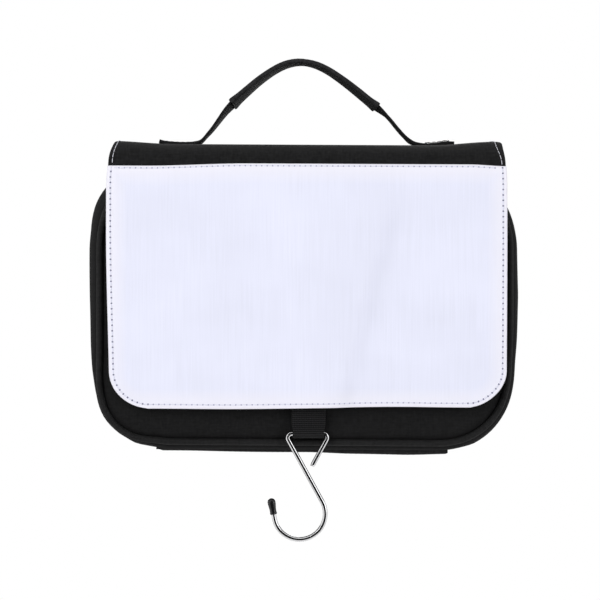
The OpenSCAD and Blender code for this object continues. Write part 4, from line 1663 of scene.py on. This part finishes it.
class BAG_OT_handle(bpy.types.Operator):
    """Make the carry handle: one webbing with two sewn tabs, and a wrapped grip"""

    bl_idname = "toiletry_bag.handle"
    bl_label = "Carry handle"

    WEBBING = 1.5
    WIDE = 19.5
    SLEEVE = 2.7
    SLEEVE_WIDE = 22.0
    LEFT_TAB = [(-88.2, 188.5), (-84.5, 187.6), (-77.0, 187.0), (-70.0, 187.0), (-65.2, 187.7)]
    LEFT_RUN = [(-62.4, 189.2), (-59.3, 192.6), (-55.6, 196.9), (-51.8, 202.0), (-47.9, 207.2)]
    ARCH = [
        (-44.0, 211.4), (-41.2, 214.1), (-34.9, 219.7), (-27.3, 226.2), (-18.3, 232.5),
        (-10.5, 236.2), (-2.4, 237.6), (6.0, 236.4), (14.4, 232.8), (23.3, 227.0),
        (31.3, 221.0), (39.0, 214.8), (45.2, 210.0),
    ]
    RIGHT_RUN = [(49.8, 206.2), (53.0, 203.0), (58.0, 197.0), (62.4, 192.3), (66.6, 189.0)]
    RIGHT_TAB = [(71.5, 187.8), (76.5, 187.5), (81.5, 188.0), (85.5, 188.6), (88.6, 188.9), (91.6, 188.8)]
    ASKEW_AT = (-60, -53, -43, -27, -13, 1, 15, 34, 45, 51, 62)
    ASKEW = (1, -2, -7, -3.5, -0.5, 4, 2.5, 0, -0.5, 6, 5.5)
    DOUBLED = 1.4
    TAB_BOX = 7.2
    SEAM_AT = 8.6
    FOLD_REACH = 0.016
    LEAN = -0.05
    TAB_HIGH = 188
    PLUMP = 0.4
    PLUMP_REACH = 4.0

    def line(self, points, count):
        """A smooth line through points of the front view, in the handle's plane."""
        xz = through(points, count)
        return upright(xz, self.LEAN * np.clip(xz[:, 1] - self.TAB_HIGH, 0, None))

    def twist(self, line):
        """Turn of the webbing about its own run, as it hangs a little askew."""
        return np.radians(np.interp(line[:, 0], self.ASKEW_AT, self.ASKEW))

    def execute(self, context):
        points = self.LEFT_TAB + self.LEFT_RUN + self.ARCH + self.RIGHT_RUN + self.RIGHT_TAB
        line = self.line(points, 240)
        thick = 1 + (self.DOUBLED - 1) * soft_step(62, 66, np.abs(line[:, 0]))
        sections = per_point(round_section(self.WIDE / 2, self.WEBBING / 2, 0.5), 1.0, thick)
        webbing = swept("handle_webbing", line, (0, 1, 0), sections, "handle_webbing", self.twist(line))
        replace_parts(webbing, "handle_tab_left", "handle_tab_right", "handle_strap")
        run = lengths(line)[-1]
        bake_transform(webbing)
        ends = through([*self.LEFT_RUN[-1:], *self.ARCH, *self.RIGHT_RUN[:1]], 200)
        inside = ends[(ends[:, 0] > self.ARCH[0][0]) & (ends[:, 0] < self.ARCH[-1][0])]
        line = self.line(inside, 110)
        run = lengths(line)
        near = np.minimum(run, run[-1] - run)
        plump = 1 + self.PLUMP * hump(near, 0, self.PLUMP_REACH) - 0.15 * np.exp(-near / 0.15)
        sections = per_point(round_section(self.SLEEVE_WIDE / 2, self.SLEEVE / 2, 1.2, 4), 1.0, plump)
        grip = swept("grip_sleeve", line, (0, 1, 0), sections, "sleeve_weave", self.twist(line))
        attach(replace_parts(grip, "handle_grip"), "handle")
        self.stitch()
        return {"FINISHED"}

    def stitch(self):
        """Box stitches on the tabs and a seam along each edge of the grip."""
        lines = []
        for points in (self.LEFT_TAB, self.RIGHT_TAB):
            run = self.line(points, 60)
            run[:, 2] += self.DOUBLED * self.WEBBING / 2 - 0.32
            inner = run[(run[:, 0] > run[:, 0].min() + 3) & (run[:, 0] < run[:, 0].max() - 3)]
            box, aside = self.TAB_BOX, np.array([0.0, 1.0, 0.0])
            made = [inner + y * aside for y in (-box, box)]
            made += [inner[end] + np.outer(np.linspace(-box, box, 12), aside) for end in (0, -1)]
            made += [inner + np.outer(way * np.linspace(-box, box, len(inner)), aside) for way in (-1, 1)]
            lines += [(line, (0, 0, 1.0)) for line in made]
        sew("tab_stitches", lines, "top_cover", "dark_thread")
        line = self.line(self.ARCH, 140)[4:-4]
        side, up = side_frames(line, (0, 1, 0), self.twist(line))
        up = up * np.sign(up[len(up) // 2, 2])
        seams = [(line + side * w + up * (self.SLEEVE / 2 - 0.2), up) for w in (-self.SEAM_AT, self.SEAM_AT)]
        sew("grip_stitches", seams, "handle", "dark_thread", thread=0.35)


class BAG_OT_hanger(bpy.types.Operator):
    """Make the hanger webbing, from behind the flap round the bar of the hook"""

    bl_idname = "toiletry_bag.hanger"
    bl_label = "Hanger webbing"

    THICK = 1.1
    ROOM = 0.75
    LAYER = 1.25
    ASIDE = 0.6
    FOLD_ABOVE = 0.003
    FOLD_BELOW = 0.004
    BAR_GAP = 0.3
    RIB_RISE = 0.16
    GATHER = 0.1
    SEAM_INSET = 1.5

    def execute(self, context):
        _, bar_y, bar_z = pin("hook_swing")
        bar_z -= BAG_OT_hook.SLACK
        top = ANCHOR_BOX[1][2]
        turn = sizes().wire + self.BAR_GAP + self.THICK / 2
        loop = [(bar_y - turn - self.ROOM, bar_z + 2)]
        for a in np.linspace(0, math.pi, 13):
            reach = turn + self.ROOM * (math.cos(a) > 0)
            loop.append((bar_y - reach * math.cos(a), bar_z - turn * math.sin(a)))
        front_y = ANCHOR_BOX[0][1] + self.THICK / 2 + 0.1
        back_y = front_y + self.LAYER
        yz = through([
            (front_y, top), (front_y, FLAP_LOW + 8), (front_y, FLAP_LOW), (front_y - 0.1, bar_z + 6), *loop,
            (bar_y + turn - 0.3, bar_z + 6), (front_y + 1.7, FLAP_LOW - 1),
            (back_y, FLAP_LOW + 8), (back_y, top),
        ], 420)
        path = np.insert(yz, 0, self.ASIDE, axis=1)
        half_w = (STRAP_BOX[1][0] - STRAP_BOX[0][0]) / 2
        run = lengths(path)
        rib = 1 - self.RIB_RISE * np.cos(run * TURN / WEBBING_RIB)
        gathered = 1 - self.GATHER * hump(yz[:, 1], bar_z, 4)
        sections = per_point(round_section(half_w, self.THICK / 2, 0.4), gathered, rib)
        piece = swept("hanger_webbing", path, (1, 0, 0), sections, "strap_webbing")
        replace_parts(piece, "strap_anchor", "hanger_strap")
        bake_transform(piece)
        reach = half_w - self.SEAM_INSET
        across = np.linspace(-reach, reach, 20) + self.ASIDE
        behind = back_y + self.THICK / 2
        lines = [np.array([(x, behind, z) for x in across]) for z in (top - 4, FLAP_LOW + 4)]
        sew("hanger_stitches", [(line, (0, 1.0, 0)) for line in lines], "flap", "dark_thread")
        return {"FINISHED"}


class BAG_OT_hook(bpy.types.Operator):
    """Make the wire hook and the soft cap on its tip"""

    bl_idname = "toiletry_bag.hook"
    bl_label = "Hook"

    EYE_HALF = 9.2
    EYE_BEND = 2.4
    SLACK = 0.8
    CENTRE = (-4.6, -47.3)
    BEND = 15.1
    TIP_LEAN = 10.0
    TIP = 9.0
    FREE_END = 18.0
    CAP = (
        (2.5, 1.3), (2.45, 1.75), (2.7, 2.0), (3.2, 2.08), (3.8, 1.9), (5.2, 1.9), (7.2, 2.15), (8.9, 2.34),
        (10.1, 2.32), (11.0, 1.98), (11.6, 1.4), (11.88, 0.8), (11.98, 0.3),
    )

    def execute(self, context):
        origin = pin("hook_swing") * (0, 1, 1) - (0, 0, self.SLACK)
        centre = np.array(self.CENTRE)
        eye = np.array([-self.EYE_HALF, -self.EYE_BEND])
        leg = eye - centre
        lean = math.atan2(leg[1], leg[0]) + math.asin((self.BEND + self.EYE_BEND) / np.linalg.norm(leg))
        tip_angle = math.radians(180 + self.TIP_LEAN)
        tip_low = centre + polar(self.BEND, tip_angle)
        along = polar(1.0, math.radians(90 + self.TIP_LEAN))
        bend = centre + polar(self.BEND, np.linspace(tip_angle, lean + 1.5 * math.pi, 60))
        left = eye + polar(self.EYE_BEND, np.linspace(lean + math.pi / 2, math.pi / 2, 14))
        right = left[::-1] * np.array([-1, 1])
        free = right[-1] + polar(self.FREE_END, -lean)
        line = np.vstack([
            tip_low + along * np.linspace(self.TIP - 0.4, 0.3, 6)[:, None], bend,
            bend[-1] + (left[0] - bend[-1]) * np.linspace(0.03, 0.97, 24)[:, None], left,
            left[-1] + (right[0] - left[-1]) * np.linspace(0.06, 0.94, 10)[:, None], right,
            right[-1] + (free - right[-1]) * np.linspace(0.05, 1, 12)[:, None],
        ])
        path = upright(line, 0.0) + origin
        run = lengths(path)
        ends = 1 - 0.22 * np.exp(-(run[-1] - run) / 0.12)
        sections = per_point(circle_section(sizes().wire, 16), ends, ends)
        wire = swept("hook_steel", path, (0, 1, 0), sections, "hook_plating")
        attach(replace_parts(wire, "hook_wire"), "hook")
        ring = circle_section(1.0, 24)
        up, across = np.array([along[0], 0, along[1]]), np.array([along[1], 0, -along[0]])
        foot = np.array([tip_low[0], 0, tip_low[1]]) + origin
        rings = ring[:, :1] * across + ring[:, 1:] * np.array([0, 1.0, 0])
        loops = np.array([foot + up * t + r * rings for t, r in self.CAP])
        cap = dish_piece("hook_cap", loops, "cap_rubber")
        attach(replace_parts(cap, "hook_tip"), "hook")
        return {"FINISHED"}


# Stage: floor, light and camera


class BAG_OT_stage(bpy.types.Operator):
    """Make the pale floor, the soft light and the camera"""

    bl_idname = "toiletry_bag.stage"
    bl_label = "Stage"

    FLOOR_DROP = 0.15
    FLOOR_HALF = 8.0
    SENSOR = 36.0
    SKY = 0.5
    SHADOW = 0.5
    FLAG_STEPS = 25
    FLAG_LIFT = 0.005
    TARGET = (-4.7, -45.5, 91.8)
    AZIMUTH = -3.0
    ELEVATION = -0.3
    DISTANCE = 0.95
    FOCAL = 1622 / 600
    LAMPS = (
        ("key_light", (-0.9, -1.5, 0.8), 1.1, 15.0),
        ("fill_light", (1.2, -1.2, 0.2), 1.0, 5.3),
        ("top_light", (0.1, 0.5, 1.5), 1.2, 2.5),
        ("rear_light", (0.5, 1.6, 0.5), 1.2, 12.0),
    )
    FLAGS = (("front_flag", -90.0, 44.0), ("rear_flag", 90.0, 52.0))
    FLAG_SECTION = ((0.22, 0.0), (1.6, 0.0), (1.6, 1.9))
    SHADOW_REACH = (0.25, 0.55)

    def execute(self, context):
        scene = context.scene
        scene.view_settings.view_transform = "Standard"
        target = Vector(row_point(*self.TARGET))
        a, e = math.radians(self.AZIMUTH), math.radians(self.ELEVATION)
        back = Vector((math.sin(a) * math.cos(e), -math.cos(a) * math.cos(e), math.sin(e)))
        data = bpy.data.cameras.new("camera")
        data.sensor_width = self.SENSOR
        data.lens = self.SENSOR * self.FOCAL
        camera = bpy.data.objects.new("camera", data)
        camera.location = target + back * self.DISTANCE
        camera.rotation_euler = (-back).to_track_quat("-Z", "Y").to_euler()
        scene.collection.objects.link(camera)
        scene.camera = camera
        for name, place, size, power in self.LAMPS:
            lamp = bpy.data.lights.new(name, "AREA")
            lamp.shape = "DISK"
            lamp.size = size
            lamp.energy = power
            lit = bpy.data.objects.new(name, lamp)
            lit.location = target + Vector(place)
            lit.rotation_euler = (-Vector(place)).to_track_quat("-Z", "Y").to_euler()
            scene.collection.objects.link(lit)
        self.world(scene)
        self.floor(scene)
        self.flags(scene)
        return {"FINISHED"}

    def floor_height(self):
        """Height of the floor, a hand's width under the hook."""
        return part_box("hook_wire")[0].z - self.FLOOR_DROP

    def flags(self, scene):
        """Dark flags round the set, which only the metal mirrors."""
        f = Finish("flag_cloth")
        dark = f.node("ShaderNodeBsdfDiffuse", None, {0: (0.01, 0.01, 0.01, 1)})
        f.node("ShaderNodeOutputMaterial", None, {0: dark})
        for name, middle, half in self.FLAGS:
            turns = np.radians(np.linspace(middle - half, middle + half, self.FLAG_STEPS))
            points = [(r * math.cos(t), r * math.sin(t), z) for r, z in self.FLAG_SECTION for t in turns]
            mesh = bpy.data.meshes.new(name)
            mesh.from_pydata(points, [], lattice(len(self.FLAG_SECTION), self.FLAG_STEPS)[0])
            mesh.materials.append(f.material)
            flag = bpy.data.objects.new(name, mesh)
            flag.location.z = self.floor_height() + self.FLAG_LIFT
            flag.visible_camera = False
            flag.visible_diffuse = False
            flag.visible_shadow = False
            scene.collection.objects.link(flag)

    def seen(self, f):
        """1 for rays from the camera and for rays that metal or glass sends on."""
        path = f.node("ShaderNodeLightPath")
        outs = path.socket.node.outputs
        camera, glossy, passed = (Shade(f, outs[f"Is {k} Ray"]) for k in ("Camera", "Glossy", "Transmission"))
        return camera.over(glossy).over(passed)

    def world(self, scene):
        """White behind the object, and an even soft light from all round."""
        scene.world = bpy.data.worlds.new("studio")
        f = Finish("studio", scene.world)
        light = f.node("ShaderNodeBackground", None, {0: (1, 1, 1, 1), 1: self.SKY})
        shown = f.node("ShaderNodeBackground", None, {0: (1, 1, 1, 1), 1: 1.0})
        mixed = f.node("ShaderNodeMixShader", None, {0: self.seen(f), 1: light, 2: shown})
        f.node("ShaderNodeOutputWorld", None, {0: mixed})

    def floor(self, scene):
        """A wide pale floor under the hook, which keeps a faint shadow."""
        mesh = bpy.data.meshes.new("floor")
        half = self.FLOOR_HALF
        spots = [(x * half, y * half, 0) for x, y in ((-1, -1), (1, -1), (1, 1), (-1, 1))]
        mesh.from_pydata(spots, [], [(0, 1, 2, 3)])
        f = Finish("floor_paper")
        paper = f.node("ShaderNodeBsdfDiffuse", None, {0: (0.9, 0.9, 0.9, 1)})
        glow = f.node("ShaderNodeEmission", None, {0: (1, 1, 1, 1), 1: 1.0})
        place = f.node("ShaderNodeTexCoord", out=3)
        away = f.node("ShaderNodeVectorMath", {"operation": "LENGTH"}, {0: place}, out=1)
        near, far = self.SHADOW_REACH
        clear = f.node(
            "ShaderNodeMapRange", {"interpolation_type": "SMOOTHSTEP"},
            {0: away, 1: near, 2: far, 3: self.SHADOW, 4: 1.0},
        )
        mixed = f.node("ShaderNodeMixShader", None, {0: self.seen(f) * clear, 1: paper, 2: glow})
        f.node("ShaderNodeOutputMaterial", None, {0: mixed})
        mesh.materials.append(f.material)
        floor = bpy.data.objects.new("floor", mesh)
        floor.location.z = self.floor_height()
        scene.collection.objects.link(floor)


STEPS = (
    BAG_OT_stage, BAG_OT_walls, BAG_OT_beads, BAG_OT_panels, BAG_OT_linings, BAG_OT_zip, BAG_OT_sliders,
    BAG_OT_base, BAG_OT_pocket, BAG_OT_cover, BAG_OT_face, BAG_OT_closure, BAG_OT_handle, BAG_OT_hanger,
    BAG_OT_hook,
)


class BAG_PT_panel(bpy.types.Panel):
    """Sizes, colours and steps of the toiletry bag"""

    bl_idname = "BAG_PT_panel"
    bl_label = "Toiletry bag"
    bl_space_type = "VIEW_3D"
    bl_region_type = "UI"
    bl_category = "Toiletry bag"

    def draw(self, context):
        scene = context.scene
        for group, kind in ((scene.toiletry_bag_sizes, BagSizes), (scene.toiletry_bag_colours, BagColours)):
            for key in kind.__annotations__:
                self.layout.prop(group, key)
        for step in STEPS:
            self.layout.operator(step.bl_idname)


CLASSES = (BagSizes, BagColours, *STEPS, BAG_PT_panel)


def register():
    """Registers the bag's classes and hangs its sizes and colours on the scene."""
    for each in CLASSES:
        bpy.utils.register_class(each)
    bpy.types.Scene.toiletry_bag_sizes = PointerProperty(type=BagSizes)
    bpy.types.Scene.toiletry_bag_colours = PointerProperty(type=BagColours)


def unregister():
    """Takes back what register did."""
    del bpy.types.Scene.toiletry_bag_colours
    del bpy.types.Scene.toiletry_bag_sizes
    for each in reversed(CLASSES):
        bpy.utils.unregister_class(each)


def main():
    """Builds the bag and its stage."""
    register()
    for step in STEPS:
        getattr(bpy.ops.toiletry_bag, step.bl_idname.split(".")[1])()


if __name__ == "__main__":
    main()
